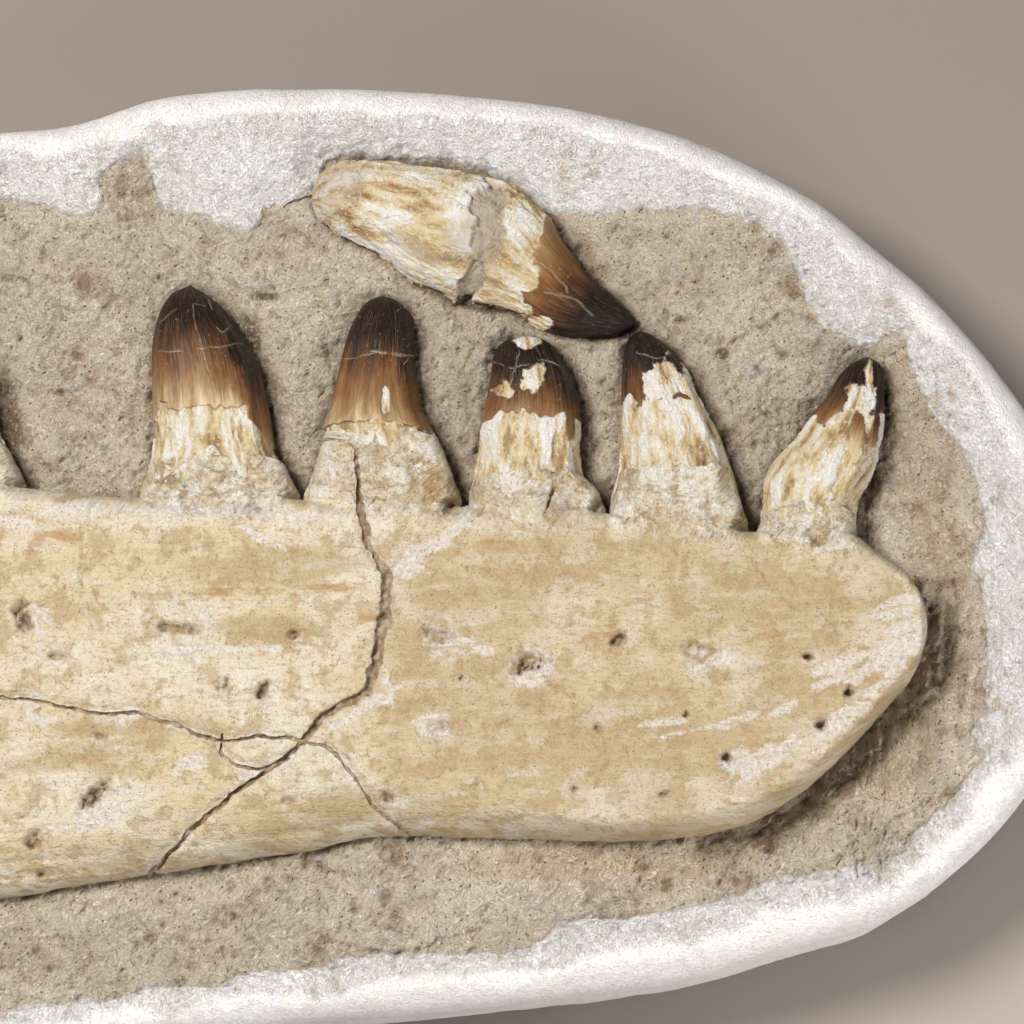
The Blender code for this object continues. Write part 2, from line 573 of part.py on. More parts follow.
def break_cutter(index, crack):
    """A thin upright sheet along a break, a little ragged."""
    curve = in_plan(smooth_curve(crack.path), FACE_LEVEL)
    length = np.linalg.norm(np.diff(curve, axis=0), axis=1).sum()
    path = evenly(curve, max(3, int(length / BREAK_STEP)))
    side = sideways(path)
    shift = BREAK_WOBBLE * noise(path[:, 0], path[:, 1], 3.1, seed=40 + index)
    shift[[0, -1]] = 0
    half = np.linspace(crack.start_width, crack.end_width, len(path)) / 2
    left, right = path + side * (shift - half)[:, None], path + side * (shift + half)[:, None]
    return prism(f"break_{index}", np.vstack([left, right[::-1]]), CLEAR_BELOW, CLEAR_ABOVE)


def foramen_cutter(foramen):
    """A shallow oval pit in the bone's face."""
    shape = bmesh.new()
    bmesh.ops.create_uvsphere(shape, u_segments=9, v_segments=6, radius=1)
    turn = math.radians(foramen.turn)
    x, y = in_plan((foramen.x, foramen.y), FACE_LEVEL)
    z = float(bone_face(x, y))
    points = []
    for vertex in shape.verts:
        along, across = vertex.co.x * foramen.length, vertex.co.y * foramen.width
        points.append((
            x + along * math.cos(turn) - across * math.sin(turn),
            y + along * math.sin(turn) + across * math.cos(turn),
            z + FORAMEN_RISE + vertex.co.z * FORAMEN_DEPTH,
        ))
    faces = [tuple(v.index for v in face.verts) for face in shape.faces]
    shape.free()
    return make_object("foramen", points, faces)


def make_jaw(material):
    """Bone and teeth joined, broken along the cracks, and each fragment made an object of its own."""
    whole = make_bone(material)
    teeth = [arched_loft("tooth", *tooth_profile(rows)) for rows in tooth_rows()]
    combine(whole, teeth, "UNION")
    combine(whole, [foramen_cutter(foramen) for foramen in FORAMINA], "DIFFERENCE")
    combine(whole, [break_cutter(i, crack) for i, crack in enumerate(BREAKS)], "DIFFERENCE")
    bpy.context.view_layer.update()
    bodies = closed_bodies(whole.data)
    fragments = []
    for name, (x, y) in PIECES.items():
        hit = face_under(whole, x, y)
        body = next(b for b in bodies if hit in b)
        fragments.append(body_object(name, whole, body, material))
    bpy.data.objects.remove(whole)
    return fragments


def make_loose_tooth(material):
    """The loose tooth: a stout root and a curved crown, in one piece."""
    return arched_loft("loose_tooth", *loose_profile(), material)


def bed_cutters():
    """What is taken out of the rock for the bone and the teeth to lie in."""
    cutters = [prism("bone_bed", bone_footprint(), BONE_BED, CLEAR_ABOVE)]
    for *place, _ in (*(tooth_profile(rows) for rows in tooth_rows()), loose_profile()):
        cutters.append(prism("tooth_bed", footprint(*place, BED_CLEARANCE), TOOTH_BED, CLEAR_ABOVE))
    return cutters


def clear_scene():
    for item in list(bpy.data.objects):
        bpy.data.objects.remove(item)


def shade(item):
    item.data.shade_smooth()
    item.data.set_sharp_from_angle(angle=math.radians(35))


def main():
    clear_scene()
    plaster = plain_material("plaster", (0.86, 0.84, 0.81), 0.85)
    rock = plain_material("rock", (0.50, 0.44, 0.36), 0.95)
    bone = plain_material("fossil_bone", (0.74, 0.62, 0.40), 0.6)
    tooth = plain_material("loose_tooth", (0.62, 0.45, 0.25), 0.4)
    jacket = make_jacket(plaster)
    bed = make_rock(rock)
    combine(bed, bed_cutters(), "DIFFERENCE")
    fragments = make_jaw(bone)
    loose = make_loose_tooth(tooth)
    specimen = bpy.data.objects.new("fossil_jaw", None)
    bpy.context.scene.collection.objects.link(specimen)
    for item in (jacket, bed, *fragments, loose):
        item.parent = specimen
        shade(item)


main()
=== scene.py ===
"""The looks of the fossil mosasaur jaw: bone, teeth, rock and plaster as dense surfaces with node materials.

Sizes are in millimetres. As in the solids, outlines and marks are drawn as they look from the view that the
constants below give: x runs along the jaw towards its tip, y towards the tips of the teeth. in_plan moves
them to where they lie seen from straight above, and as_seen goes the other way. z is up from the floor.
Meshes are moved so that the jacket's middle is over the origin, and are written in metres.
"""

import math
from collections import namedtuple

import bpy
import numpy as np
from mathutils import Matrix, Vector
from mathutils.geometry import delaunay_2d_cdt


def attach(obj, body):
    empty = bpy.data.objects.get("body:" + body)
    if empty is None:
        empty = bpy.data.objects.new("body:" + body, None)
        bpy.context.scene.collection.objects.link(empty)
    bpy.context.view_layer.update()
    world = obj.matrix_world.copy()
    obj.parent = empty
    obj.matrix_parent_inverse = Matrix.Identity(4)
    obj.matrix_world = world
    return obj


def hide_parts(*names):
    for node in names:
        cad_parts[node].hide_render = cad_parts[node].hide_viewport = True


MILLIMETRE = 0.001
GAP = 0.3

# The view that the outlines are drawn from, which is also the camera's
VIEW_WIDTH = 256.0
VIEW_LEVEL = 52.0
VIEW_DISTANCE = 1400.0
VIEW_SLANT = math.radians(80)

# Heights above the floor
RIM_CREST = 49.4
RIM_INNER = 46.6
ROCK_LEVEL = 45.2
BONE_BED = 36.0
BONE_SIDE = 47.0
FACE_LEVEL = 59.0
TOOTH_BED = 40.4
TOOTH_AXIS = 46.4
FAR_SIDE = 41.0  # where the jacket's side is seen edge on, beyond the middle and before it
NEAR_SIDE = 12.0
TALLEST = 60.9

# The jacket: x, y and the width of the rim there
RIM_ROUND = 11.0
FOOT_ROUND = 13.0
JACKET_POINTS = 120
JACKET_OUTLINE = [
    (-128, 95, 17), (-110, 97, 19), (-90.5, 103, 19), (-78, 105, 30), (-66, 106, 31), (-57, 106, 18),
    (-47, 106, 14.5), (-28, 105.5, 14), (-8, 104, 15), (7, 102.3, 18.5), (22, 99.5, 25), (47, 92.3, 18),
    (77, 77.3, 19), (91, 66, 24), (105.5, 53.5, 12), (122.5, 34, 18), (133.5, 17, 17), (140, -5, 17),
    (141.5, -30, 17), (137, -55, 17), (118.3, -84, 16), (92, -104.5, 19), (70, -112, 21), (44.5, -119.5, 21),
    (10, -124.5, 19), (-18, -127.5, 18), (-60, -131.5, 15), (-128, -139.5, 14), (-218, -145, 16),
    (-303, -145.5, 19), (-378, -136, 20), (-423, -110, 21), (-446, -70, 19), (-449, -22, 18), (-438, 28, 21),
    (-410, 62, 20), (-365, 83, 17), (-303, 90, 19), (-215, 88, 16), (-165, 91, 18),
]
# The ragged line where the plaster's edge lies on the rock, as far as the photo shows it
PLASTER_EDGE = [
    (-128, 78), (-118, 76.8), (-108, 74.3), (-103, 78), (-103, 83), (-98, 86.8), (-92.5, 89.3), (-90, 83),
    (-88, 76.8), (-78, 73.8), (-68, 69), (-62.5, 71.8), (-60.5, 76.8), (-53, 76.5), (-49.5, 81), (-46, 88),
    (-38, 89), (-20, 88), (-7, 86), (0, 80), (9.5, 75.5), (22, 74.3), (32, 75.5), (47, 75.5), (62, 71.8),
    (69.5, 63), (72, 55.5), (79.5, 45.5), (87, 40.5), (94.5, 45), (98.3, 43.5), (100.8, 33), (104.5, 25.5),
    (112, 15.5), (118, -2), (115.8, -12), (118.3, -22), (119.5, -34.5), (118.3, -47), (115.8, -57),
    (118, -62), (112, -69.5), (104.5, -77), (97, -84.5), (82, -88), (72, -89.5), (60, -94.5), (47, -98.3),
    (32, -100.8), (12, -103.3), (7, -107), (-3, -109.5), (-28, -109.5), (-40.5, -110.8), (-48, -113.3),
    (-68, -115.8), (-78, -119.5), (-90.5, -118.3), (-98, -122), (-110.5, -122), (-128, -125.8),
]
PLASTER_LAP = 12.0  # how far the plaster's mesh runs on under the rock
EDGE_INSET = 0.12  # so that this finer outline stays inside the solids' box

# The dentary's two edges, both from its rear end to its tip
JAW_TIP = (103.8, -29.5)
JAW_REAR = (-412, -47)
LOWER_EDGE = [
    JAW_REAR, (-408, -70), (-393, -89.5), (-365, -103), (-328, -109), (-278, -110.5), (-228, -108),
    (-178, -103.3), (-128, -96.3), (-95.5, -91), (-53, -84.5), (-33, -80.8), (-8, -81), (32, -81.8),
    (47, -80.3), (59.5, -76.8), (69.5, -71.5), (78, -65), (87, -56), (95, -47), (100.5, -40.5), (103, -34),
    JAW_TIP,
]
UPPER_EDGE = [
    JAW_REAR, (-409, -22), (-398, -4.5), (-378, 3), (-353, 5), (-303, 6), (-228, 6.8), (-165.5, 7), (-128, 6),
    (-93, 3), (-53, 2.3), (-10.5, 1), (22, -0.8), (58, -5.3), (84.5, -6), (91, -10.5), (97.5, -15),
    (101.8, -21), (103.4, -25.5), JAW_TIP,
]
BULGE = 13.0
REAR_LOWER_ROUND = 22.0
FRONT_LOWER_ROUND = 4.0
ROUND_CHANGES = (-70, 30)
UPPER_ROUND = 2.5
UPPER_ROUND_SPREAD = 5.0
END_ROUND = 3.0

# The teeth that are seen whole, front one first: y and the left and right edges there, from foot to tip
SEEN_TEETH = [
    [(-7, 61.3, 86), (0.5, 62.5, 86), (8, 63.3, 89.7), (13, 66, 91.7), (18, 70.6, 92.5), (24.3, 75, 93),
     (28, 78.2, 93), (34.3, 82.2, 92.7), (37, 85, 91.8), (38.5, 87.8, 89.5)],
    [(-3, 24, 59), (3, 25, 57), (10, 26.8, 55), (16, 27, 52.8), (23, 27.2, 50), (29.5, 27.4, 46.8),
     (35, 27.6, 44), (39, 27.9, 41.2), (42, 28.6, 38.2), (44, 30, 35.2), (45, 31.8, 33)],
    [(0, -11, 23.5), (5, -10.2, 21.5), (9, -9.3, 18), (16, -8.6, 17.3), (24, -7.2, 17.3), (31, -5.9, 16),
     (36, -5.1, 14), (40, -4.2, 11.5), (42.3, -2, 9.3), (43.5, 0.8, 5.5)],
    [(2.5, -52, -12.5), (10, -49.5, -15.3), (17, -47.5, -18), (22, -47, -20.3), (26, -45.7, -22.4),
     (30, -44.6, -23), (37, -43, -23.8), (44.3, -41, -24.4), (48, -39.4, -25), (51, -37.5, -26.8),
     (53, -35.2, -29.3), (53.8, -32.6, -31.9)],
    [(3.8, -93, -53), (11.8, -90.5, -57), (17, -89.8, -59.3), (25.5, -89.9, -60.5), (34.3, -90, -62.5),
     (41.8, -90, -65.5), (46, -89.3, -68.3), (50.5, -87.8, -71.8), (54.3, -85, -76.5), (56.5, -80.8, -80.2)],
]
# The teeth further back are like the last of these: x, size against it, and how far the tip leans back
MODEL_TOOTH_X = -74.5
REAR_TEETH = [
    (-144, 1.03, 0), (-182, 1.03, 1), (-219, 0.66, 1), (-255.5, 0.97, 2), (-291, 0.9, 3), (-324, 0.8, 4),
    (-353.5, 0.67, 4),
]
ROOT_SINK = 14.0
TOOTH_RELIEF = 0.46
MOST_RELIEF = 13.4
CROWN_LAP = 7.0  # how far each crown's surface runs down into its collar
# How high over its foot each seen tooth's crown starts, and how high its enamel does
SEAMS = [6.5, 12.3, 8.0, 16.5, 8.2]
ENAMEL_STARTS = [31.3, 31.0, 23.5, 18.5, 19.7]

# The loose tooth above the jaw: points on its axis, and half its width there
LOOSE_AXIS = [
    (-48.5, 78), (-45, 78.2), (-38, 78), (-28, 75.5), (-18, 71), (-8, 68), (-2.5, 65), (7, 58), (13.3, 53),
    (22, 49.5), (27.5, 47.8), (30.8, 47.5),
]
LOOSE_HALF_WIDTH = [5.5, 8.5, 10.7, 12.6, 15.6, 16.8, 15.6, 10.9, 9.0, 6.0, 3.3, 0.7]
LOOSE_RELIEF = 0.8

# Breaks through the bone, each a path with its full width at the start and at the end
Break = namedtuple("Break", "path start_width end_width")
BREAKS = [
    Break([(-56, 21.5), (-47.5, 19.2), (-41.8, 18), (-38.5, 15.5)], 0.7, 0.9),
    Break([(-38.8, 16.2), (-38.5, 8), (-37.5, 0.5), (-36.3, -7), (-34, -11.5), (-30.8, -15.8)], 1.1, 2.4),
    Break([(-31.2, -15), (-31.5, -23.3), (-32.8, -30.8), (-34.5, -39), (-36, -45.5)], 2.6, 3.0),
    Break([(-35.4, -44.6), (-41.8, -48), (-48, -52.3), (-52.6, -58)], 2.6, 1.9),
    Break([(-52, -57.2), (-58, -62.5), (-65.5, -67.5), (-75, -74.5), (-83, -81.5), (-89.3, -87.5),
           (-97, -93.5), (-104, -100)], 1.5, 0.9),
    Break([(-51, -57), (-62.5, -56.3), (-71.8, -57), (-78, -55.8), (-86.8, -52.5), (-94.3, -50.3),
           (-103, -50.5), (-113, -48.5), (-128, -46.3), (-150, -44.5), (-173, -47), (-208, -52.5),
           (-243, -48.3), (-284, -50)], 1.0, 0.8),
    Break([(-72.5, -55.5), (-72.5, -60), (-68.5, -63.3), (-63.5, -64.3), (-55.5, -61.4)], 0.8, 0.8),
    Break([(-52, -57.2), (-46, -59.3), (-41.8, -63.3), (-37.5, -69), (-33.5, -74), (-29.8, -77),
           (-23.5, -80.3), (-17, -86)], 0.9, 0.8),
    Break([(-272, 30), (-273, 4), (-270, -12), (-276, -28), (-282, -43), (-280, -62), (-287, -78),
           (-291, -95), (-289, -125)], 1.5, 1.3),
]
# A place in each piece of bone between the breaks
PIECES = {
    "dentary_front": (40, -50),
    "dentary_wedge": (-60, -77),
    "dentary_chip": (-64, -60.3),
    "dentary_lower": (-140, -75),
    "dentary_upper": (-140, -12),
    "dentary_rear": (-340, -60),
}

# Nerve openings and pits in the bone: x, y, half length, half width, turn in degrees, and depth
Pit = namedtuple("Pit", "x y length width turn depth")
PITS = [Pit(*row) for row in (
    (3.8, -37.2, 4.8, 3.6, 20, 2.6), (47, -35, 6.0, 3.2, -12, 1.0), (27, -31.5, 2.8, 2.2, 40, 2.0),
    (84.5, -44, 2.2, 1.6, 60, 2.0), (77.3, -53.3, 2.2, 1.8, 30, 2.0), (74, -36, 2.2, 1.2, -10, 1.8),
    (54, -61.3, 2.4, 2.0, -30, 2.0), (-18.5, -30.5, 5.5, 2.0, -15, 1.2), (-18.8, -53.8, 2.8, 2.3, 0, 1.0),
    (-31, -71.3, 2.4, 1.7, -20, 1.5), (-62.5, -44.5, 3.4, 1.4, 60, 1.8), (-72, -43, 3.0, 1.3, 50, 1.2),
    (-54.5, -30.5, 2.0, 1.3, 10, 1.4), (-83, -28.8, 8.5, 1.6, -4, 1.3), (-122.5, -25.5, 2.6, 5.0, 10, 2.0),
    (-104.3, -71, 5.6, 2.6, 38, 2.6), (-119.3, -82, 3.6, 2.0, 25, 1.8), (-113.5, -36, 3.4, 1.2, -10, 1.1),
    (-12.7, -41.5, 0.9, 0.9, 0, 1.3), (43.5, -50.3, 0.9, 0.7, 40, 1.2), (21.3, -53.7, 1.6, 0.9, -30, 1.2),
    (-9.5, -68.2, 2.2, 0.8, 10, 0.9), (15.5, -69.2, 2.0, 0.8, 8, 0.9), (38.3, -70, 2.0, 0.9, 20, 1.1),
    (9.8, 4.5, 5.5, 0.7, 72, 1.5), (21.6, 2.4, 2.4, 1.8, 60, 2.4), (-15.5, 1.5, 2.6, 1.6, 70, 2.2),
    (-118, -90.3, 1.4, 0.8, -20, 1.2), (-103.3, -56, 2.4, 0.9, -15, 0.9), (-70.5, -66.5, 2.0, 1.1, 10, 0.8),
    (-55.7, -72, 2.6, 1.1, 0, 0.9), (-163, -34, 4.4, 2.8, 10, 2.2), (-201, -27, 4.8, 2.6, -5, 2.2),
    (-238, -33, 3.8, 2.4, 15, 2.0), (-305, -31, 4.6, 2.4, 0, 2.0), (-338, -38, 3.4, 2.2, 20, 1.8),
    (-151, -66, 3.0, 1.6, 20, 1.4), (-186, -79, 2.6, 1.4, 5, 1.3), (-227, -70, 2.8, 1.3, -10, 1.2),
    (-262, -84, 2.0, 1.2, 20, 1.1), (-318, -72, 2.4, 1.4, -15, 1.2), (-372, -45, 2.2, 1.5, 30, 1.2),
)]
RING_SHIFT = 0.4  # how far down and to the right of a pit its broken-edged ring lies, in pit sizes: towards the pit's far wall that faces the light, so that the ring's pale colour is partly painted highlight

# Hairline cracks in the bone
HAIRLINES = [
    [(-94, -50), (-90, -47.5), (-78, -46), (-64, -45)],
    [(-11, 0), (-12.5, -7.5), (-18, -14), (-22.5, -22)],
    [(-12.5, -7.5), (-10, -15), (-8, -23)],
    [(8, 8), (11.5, 4), (8, -6.5), (6, -19.5), (8, -27)],
    [(7.5, -24), (12, -29), (19, -31)],
    [(-105.5, 0.5), (-106, -16), (-104.5, -32), (-101, -44.5)],
    [(-107.5, 0), (-108, -14), (-107, -26)],
    [(-128, -30), (-121, -35), (-114, -37), (-107, -32)],
    [(-111, -38), (-113, -46), (-120, -50)],
    [(-33, -48.5), (-22, -47), (-14, -50.5)],
    [(-26, -24), (-20, -31), (-13, -34), (-12.7, -41)],
    [(62, -6), (56, -15), (50, -17.5)],
    [(-65, -44.5), (-52, -45), (-40, -44.5)],
    [(48, -42), (62, -39), (74, -36)],
    [(-128, -62), (-118, -72), (-128, -80)],
    [(26, -31), (10, -44), (-12, -60)],
    [(60, -12), (68, -22), (84, -30)],
    [(-152, -10), (-158, -24), (-155, -38)],
    [(-196, 0), (-193, -20), (-199, -42)],
    [(-240, -60), (-232, -78), (-236, -100)],
    [(-318, 4), (-322, -18), (-330, -36)],
]

# The groove low on the bone's side, the lip under its front, and how far the grain turns near its tip
LOWER_GROOVE = [
    (-420, -88), (-300, -100), (-200, -98), (-128, -88), (-103, -86), (-78, -83), (-53, -80), (-30, -77),
]
LIP = [(-29, -77), (-22, -76.2), (-8, -77.3), (6, -76.8), (20, -78.6), (26, -81.5)]
LIP_LEVEL = 52
GRAIN_TURN = math.radians(24)

# An oval: its middle, half length, half width and turn in degrees
Patch = namedtuple("Patch", "x y length width turn")


def ovals(*rows):
    return [Patch(*row) for row in rows]


# Where the bone's outer skin is worn to white, where it is tan, and where it is rusty
BONE_WHITE = ovals(
    (96, -23.5, 7, 2.6, 14), (97, -33, 9, 3.4, 38), (84, -37.5, 12, 1.8, 12), (89, -46, 7, 2.2, 42),
    (66, -61, 10, 2.2, 32), (54, -52.5, 16, 1.2, 14), (36, -52.5, 5, 1.0, 5), (78, -55, 7, 1.4, 42),
    (-63, -34, 13, 1.7, 0), (-83, -35, 5, 1.0, 5), (-16, -5, 8, 2.6, 42), (-25, -12, 5, 2.6, 30),
    (-28, 1.5, 7, 1.4, -5), (-53, -1, 12, 2.0, -4), (-78, 0, 14, 2.4, 3), (-110, 0, 9, 2.6, 0),
    (-125, -3, 6, 2.6, 0), (-61, -7, 8, 1.4, -25), (-17, -31.5, 8, 2.6, -20), (47, -35.5, 7.5, 3.8, -8),
    (5, -41, 5, 3.4, 20), (-29.5, -72, 3.2, 2.2, 0), (-18.5, -53.5, 3.4, 3.2, 0), (56, -62.5, 4, 2.4, -30),
    (-119, -27, 2.6, 6, 10), (-100, -73, 6, 3.2, 35), (-107, -79, 5, 1.8, 30), (-116, -80, 5, 1.6, 20),
    (-41, -51.8, 11, 1.3, 34), (-57.5, -63.2, 6, 1.2, 36), (92, -38, 13, 3.4, 30), (81, -52, 11, 2.2, 42),
    (-31, -45, 0.9, 5, 10), (-64, -65.5, 6, 1.2, 8), (-93, -50, 4.5, 1.0, 10), (-82, -64, 5, 2, 20),
    (22, -38, 3, 1, 0), (-150, -2, 14, 2.4, 2), (-205, -1, 20, 2.2, 0), (-245, -20, 9, 2.0, 5),
    (-182, -88, 16, 2.2, -5), (-330, -85, 18, 4, -6), (-395, -40, 6, 20, 5), (-352, -10, 10, 2.4, 3),
    (-301, -60, 10, 1.8, 4),
)
BONE_TAN = ovals(
    (64, -20, 34, 13, -8), (20, -60, 44, 14, 2), (70, -50, 26, 9, 25), (-20, -20, 10, 14, 0),
    (20, -12, 26, 9, 0), (-48, -76, 26, 5, 12), (-58, -14, 22, 5, 2), (-88, -54, 22, 3, 0),
    (-66, -29, 22, 3, 0), (-104, -60, 20, 3, 10),
)
BONE_RUST = ovals(
    (-3, -8, 4, 1.6, 0), (46, -8, 5, 2.4, 0), (-46, -19, 9, 1.2, 2), (-70, -20, 12, 0.9, 0),
    (-36, -27, 6, 1.0, 4), (-112, -6, 6, 1.6, 0), (30, -22, 5, 1.4, 20), (22, -30, 4, 3, 40),
    (60, -32, 8, 0.8, 12), (-20, 6, 6, 3, 80),
)
# Dark patches in the rock beside the teeth and the jaw's tip: partly stains and dark pits, partly painted
# shadow beside the teeth and the tip on their sides away from the light
ROCK_STAINS_AND_SHADOWS = ovals(
    (-126, 22, 12, 4.0, 95), (-65, 44, 5, 2.6, 100), (-15, 10, 6, 2, 100), (52, 14, 5, 2, 110),
    (101, -18.5, 3.5, 1.6, 50), (105, -26, 4, 0.9, 88), (12, 2.5, 4, 2.2, 90), (-95, 0.5, 8, 2, 20),
    (-62, 53.8, 3.4, 0.9, 5), (-14, 3, 3.2, 2.2, 90), (52.5, 39.5, 1.6, 1.3, 0), (-113, 30, 1.5, 0.9, 0),
)
# Loose chips on the rock
ROCK_CHIPS = ovals(
    (-63.5, 56.2, 3.4, 0.9, 6), (-44.4, 52.4, 1.8, 0.8, 80), (59.5, 35.4, 2.7, 1.4, -8),
    (108.4, 18.8, 1.5, 1.0, 0), (-31, -106, 3.2, 1.6, 15), (-54, -112, 2.4, 1.2, -10),
    (-111, 31.5, 1.6, 0.7, 20), (-96, 62, 1.3, 0.8, 60), (40, 60, 1.4, 0.8, -30), (6, -98, 2.0, 1.0, 30),
)
# Browner ground to the right of the front tooth and of the jaw's tip: partly staining, partly painted shade
# in the low hollow there
BROWNED_AND_SHADED_GROUND = ovals(
    (103, 12, 30, 8.5, 96), (107, -26, 24, 8.5, 90), (99, -56, 24, 8, 58), (64, -79, 30, 5, 27),
    (97, 27, 8, 6, 60), (14, -88, 30, 4, 2),
)
SHADE_SHIFT = (2.4, -0.9)  # the rock is sunk, and darkened with painted shadow, on the side of each tooth that this points to, away from the light

# The low hollow round the jaw's tip: how deep it is by the bone, how far out it reaches, and its ledges
HOLLOW_DEPTH = 4.1
HOLLOW_REACH = 19.0
HOLLOW_LEDGES = 4

ROCK_CRACKS = [
    [(52, 40.5), (60, 45), (69, 50), (76, 47)],
    [(-58, 57), (-65, 55), (-71, 58)],
    [(35, -87), (30, -95), (20, -100), (11, -105)],
    [(-50, -106), (-30, -110), (-8, -104)],
    [(114, -37), (113, -46), (111.5, -54.5)],
    [(106, -68), (104.5, -72), (94.5, -78), (92, -82), (77, -88)],
    [(87, -66), (72, -72), (57, -84.5), (52, -92)],
    [(110, -12), (111.5, -24), (110.5, -36)],
    [(-128, 60), (-118, 56), (-112, 48)],
]
PLASTER_CRACKS = [
    [(6, 95.5), (4.5, 90), (5.5, 85.5)],
    [(-42, 90.5), (-36, 93), (-30.5, 91.5)],
    [(67, 70), (69.5, 64), (72, 57), (75, 50.5)],
    [(97, -84.5), (99, -89.5), (96, -94.5)],
    [(-50, 100), (-40, 97), (-31, 94)],
    [(-104, 98), (-98, 92), (-99, 84)],
    [(-210, 86), (-207, 80), (-211, 74)],
    [(-330, -141), (-326, -133), (-330, -126)],
]

# Spacing of the mesh points, in the part that the photo shows and in the rest
FRONT_START = -134.0
FRONT_BLEND = 30.0  # from one spacing to the other over this length
FINE_STEP = 0.55
COARSE_STEP = 1.3
BONE_INSETS = (0.12, 0.4, 0.85)
SHARP_EDGE = math.radians(55)
CROWN_STEP = 0.28
REAR_CROWN_STEP = 0.8
ROCK_FINE = 0.62
ROCK_COARSE = 1.5
ROCK_REACH = (-440, 134, -134, 98)  # the sheet's ends in x and in y, before its edge is cut
JACKET_FINE = 0.8
JACKET_COARSE = 2.0
FOOT_RINGS = 9
SIDE_RINGS = 16
ROUND_RINGS = 14
RIM_RINGS = 43

# How far a surface's flat pattern moves along x and y for each millimetre of height
PATTERN_LEAN = (0.55, 0.75)


def smooth_curve(points, closed=False, steps=14):
    """A smooth curve through the points, as a fine polyline: a centripetal Catmull-Rom spline."""
    points = np.array(points, float)
    if closed:
        points = np.vstack([points[-1], points, points[:2]])
    else:
        points = np.vstack([2 * points[0] - points[1], points, 2 * points[-1] - points[-2]])
    curve = []
    for p0, p1, p2, p3 in zip(points, points[1:], points[2:], points[3:]):
        knots = np.cumsum([0, *(np.linalg.norm(b - a) ** 0.5 for a, b in ((p0, p1), (p1, p2), (p2, p3)))])
        k0, k1, k2, k3 = knots
        for k in np.linspace(k1, k2, steps, endpoint=False):
            a1 = ((k1 - k) * p0 + (k - k0) * p1) / (k1 - k0)
            a2 = ((k2 - k) * p1 + (k - k1) * p2) / (k2 - k1)
            a3 = ((k3 - k) * p2 + (k - k2) * p3) / (k3 - k2)
            b1 = ((k2 - k) * a1 + (k - k0) * a2) / (k2 - k0)
            b2 = ((k3 - k) * a2 + (k - k1) * a3) / (k3 - k1)
            curve.append(((k2 - k) * b1 + (k - k1) * b2) / (k2 - k1))
    if not closed:
        curve.append(points[-2])
    return np.array(curve)


def spaced(curve, step_at, closed=False):
    """Points along a polyline, as far apart as step_at says for each x."""
    if closed:
        curve = np.vstack([curve, curve[:1]])
    length = np.linalg.norm(np.diff(curve[:, :2], axis=0), axis=1)
    middle = (curve[:-1, 0] + curve[1:, 0]) / 2
    count_at = np.concatenate([[0], np.cumsum(length / step_at(middle))])
    wanted = np.linspace(0, count_at[-1], max(3, int(count_at[-1]) + 1), endpoint=not closed)
    return np.column_stack([np.interp(wanted, count_at, column) for column in curve.T])


def every(length):
    """A step_at for spaced that is the same everywhere."""
    return lambda x: np.full_like(x, length)


def area(polygon):
    x, y = polygon[:, 0], polygon[:, 1]
    return 0.5 * np.sum(x * np.roll(y, -1) - y * np.roll(x, -1))


def anticlockwise(polygon):
    return polygon if area(polygon) > 0 else polygon[::-1]


def outward(polygon):
    """Unit normals out of a closed polygon that runs anticlockwise."""
    tangent = np.roll(polygon, -1, axis=0) - np.roll(polygon, 1, axis=0)
    tangent /= np.linalg.norm(tangent, axis=1)[:, None]
    return np.column_stack([tangent[:, 1], -tangent[:, 0]])


def sideways(path):
    """Unit normals to the right of an open path."""
    tangent = np.gradient(path, axis=0)
    tangent /= np.linalg.norm(tangent, axis=1)[:, None]
    return np.column_stack([tangent[:, 1], -tangent[:, 0]])


def step(low, high, value):
    """Rises smoothly from 0 at low to 1 at high."""
    share = np.clip((np.asarray(value, float) - low) / (high - low), 0, 1)
    return share * share * (3 - 2 * share)


def in_plan(drawn, level):
    """Where drawn points lie seen from straight above, when they are at this level."""
    drawn = np.array(drawn, float)
    x, y = drawn[..., 0], drawn[..., 1]
    rise = level - VIEW_LEVEL
    slant, lean = math.sin(VIEW_SLANT), math.cos(VIEW_SLANT)
    plan_y = y * (VIEW_DISTANCE - rise * slant) - VIEW_DISTANCE * rise * lean
    plan_y = plan_y / (VIEW_DISTANCE * slant - y * lean)
    plan_x = x * (VIEW_DISTANCE + plan_y * lean - rise * slant) / VIEW_DISTANCE
    return np.stack([plan_x, plan_y], axis=-1)


def as_seen(x, y, level):
    """Where points in plan are in the drawing."""
    rise = level - VIEW_LEVEL
    slant, lean = math.sin(VIEW_SLANT), math.cos(VIEW_SLANT)
    shrink = VIEW_DISTANCE / (VIEW_DISTANCE + y * lean - rise * slant)
    return x * shrink, (y * slant + rise * lean) * shrink


def lattice(column, row, seed):
    """A fixed value from -1 to 1 for each whole-number corner."""
    mixed = (column * 374761393 + row * 668265263 + seed * 974634777) & 0xFFFFFFFF
    mixed = ((mixed ^ (mixed >> 13)) * 1274126177) & 0xFFFFFFFF
    return ((mixed ^ (mixed >> 16)) & 0xFFFF) / 32767.5 - 1


def noise(x, y, size, seed=0):
    """Smooth noise from -1 to 1 with lumps about size across."""
    x, y = np.asarray(x, float) / size, np.asarray(y, float) / size
    column, row = np.floor(x).astype(np.int64), np.floor(y).astype(np.int64)
    u, v = x - column, y - row
    u, v = u * u * (3 - 2 * u), v * v * (3 - 2 * v)
    near = lattice(column, row, seed) * (1 - u) + lattice(column + 1, row, seed) * u
    far = lattice(column, row + 1, seed) * (1 - u) + lattice(column + 1, row + 1, seed) * u
    return near * (1 - v) + far * v


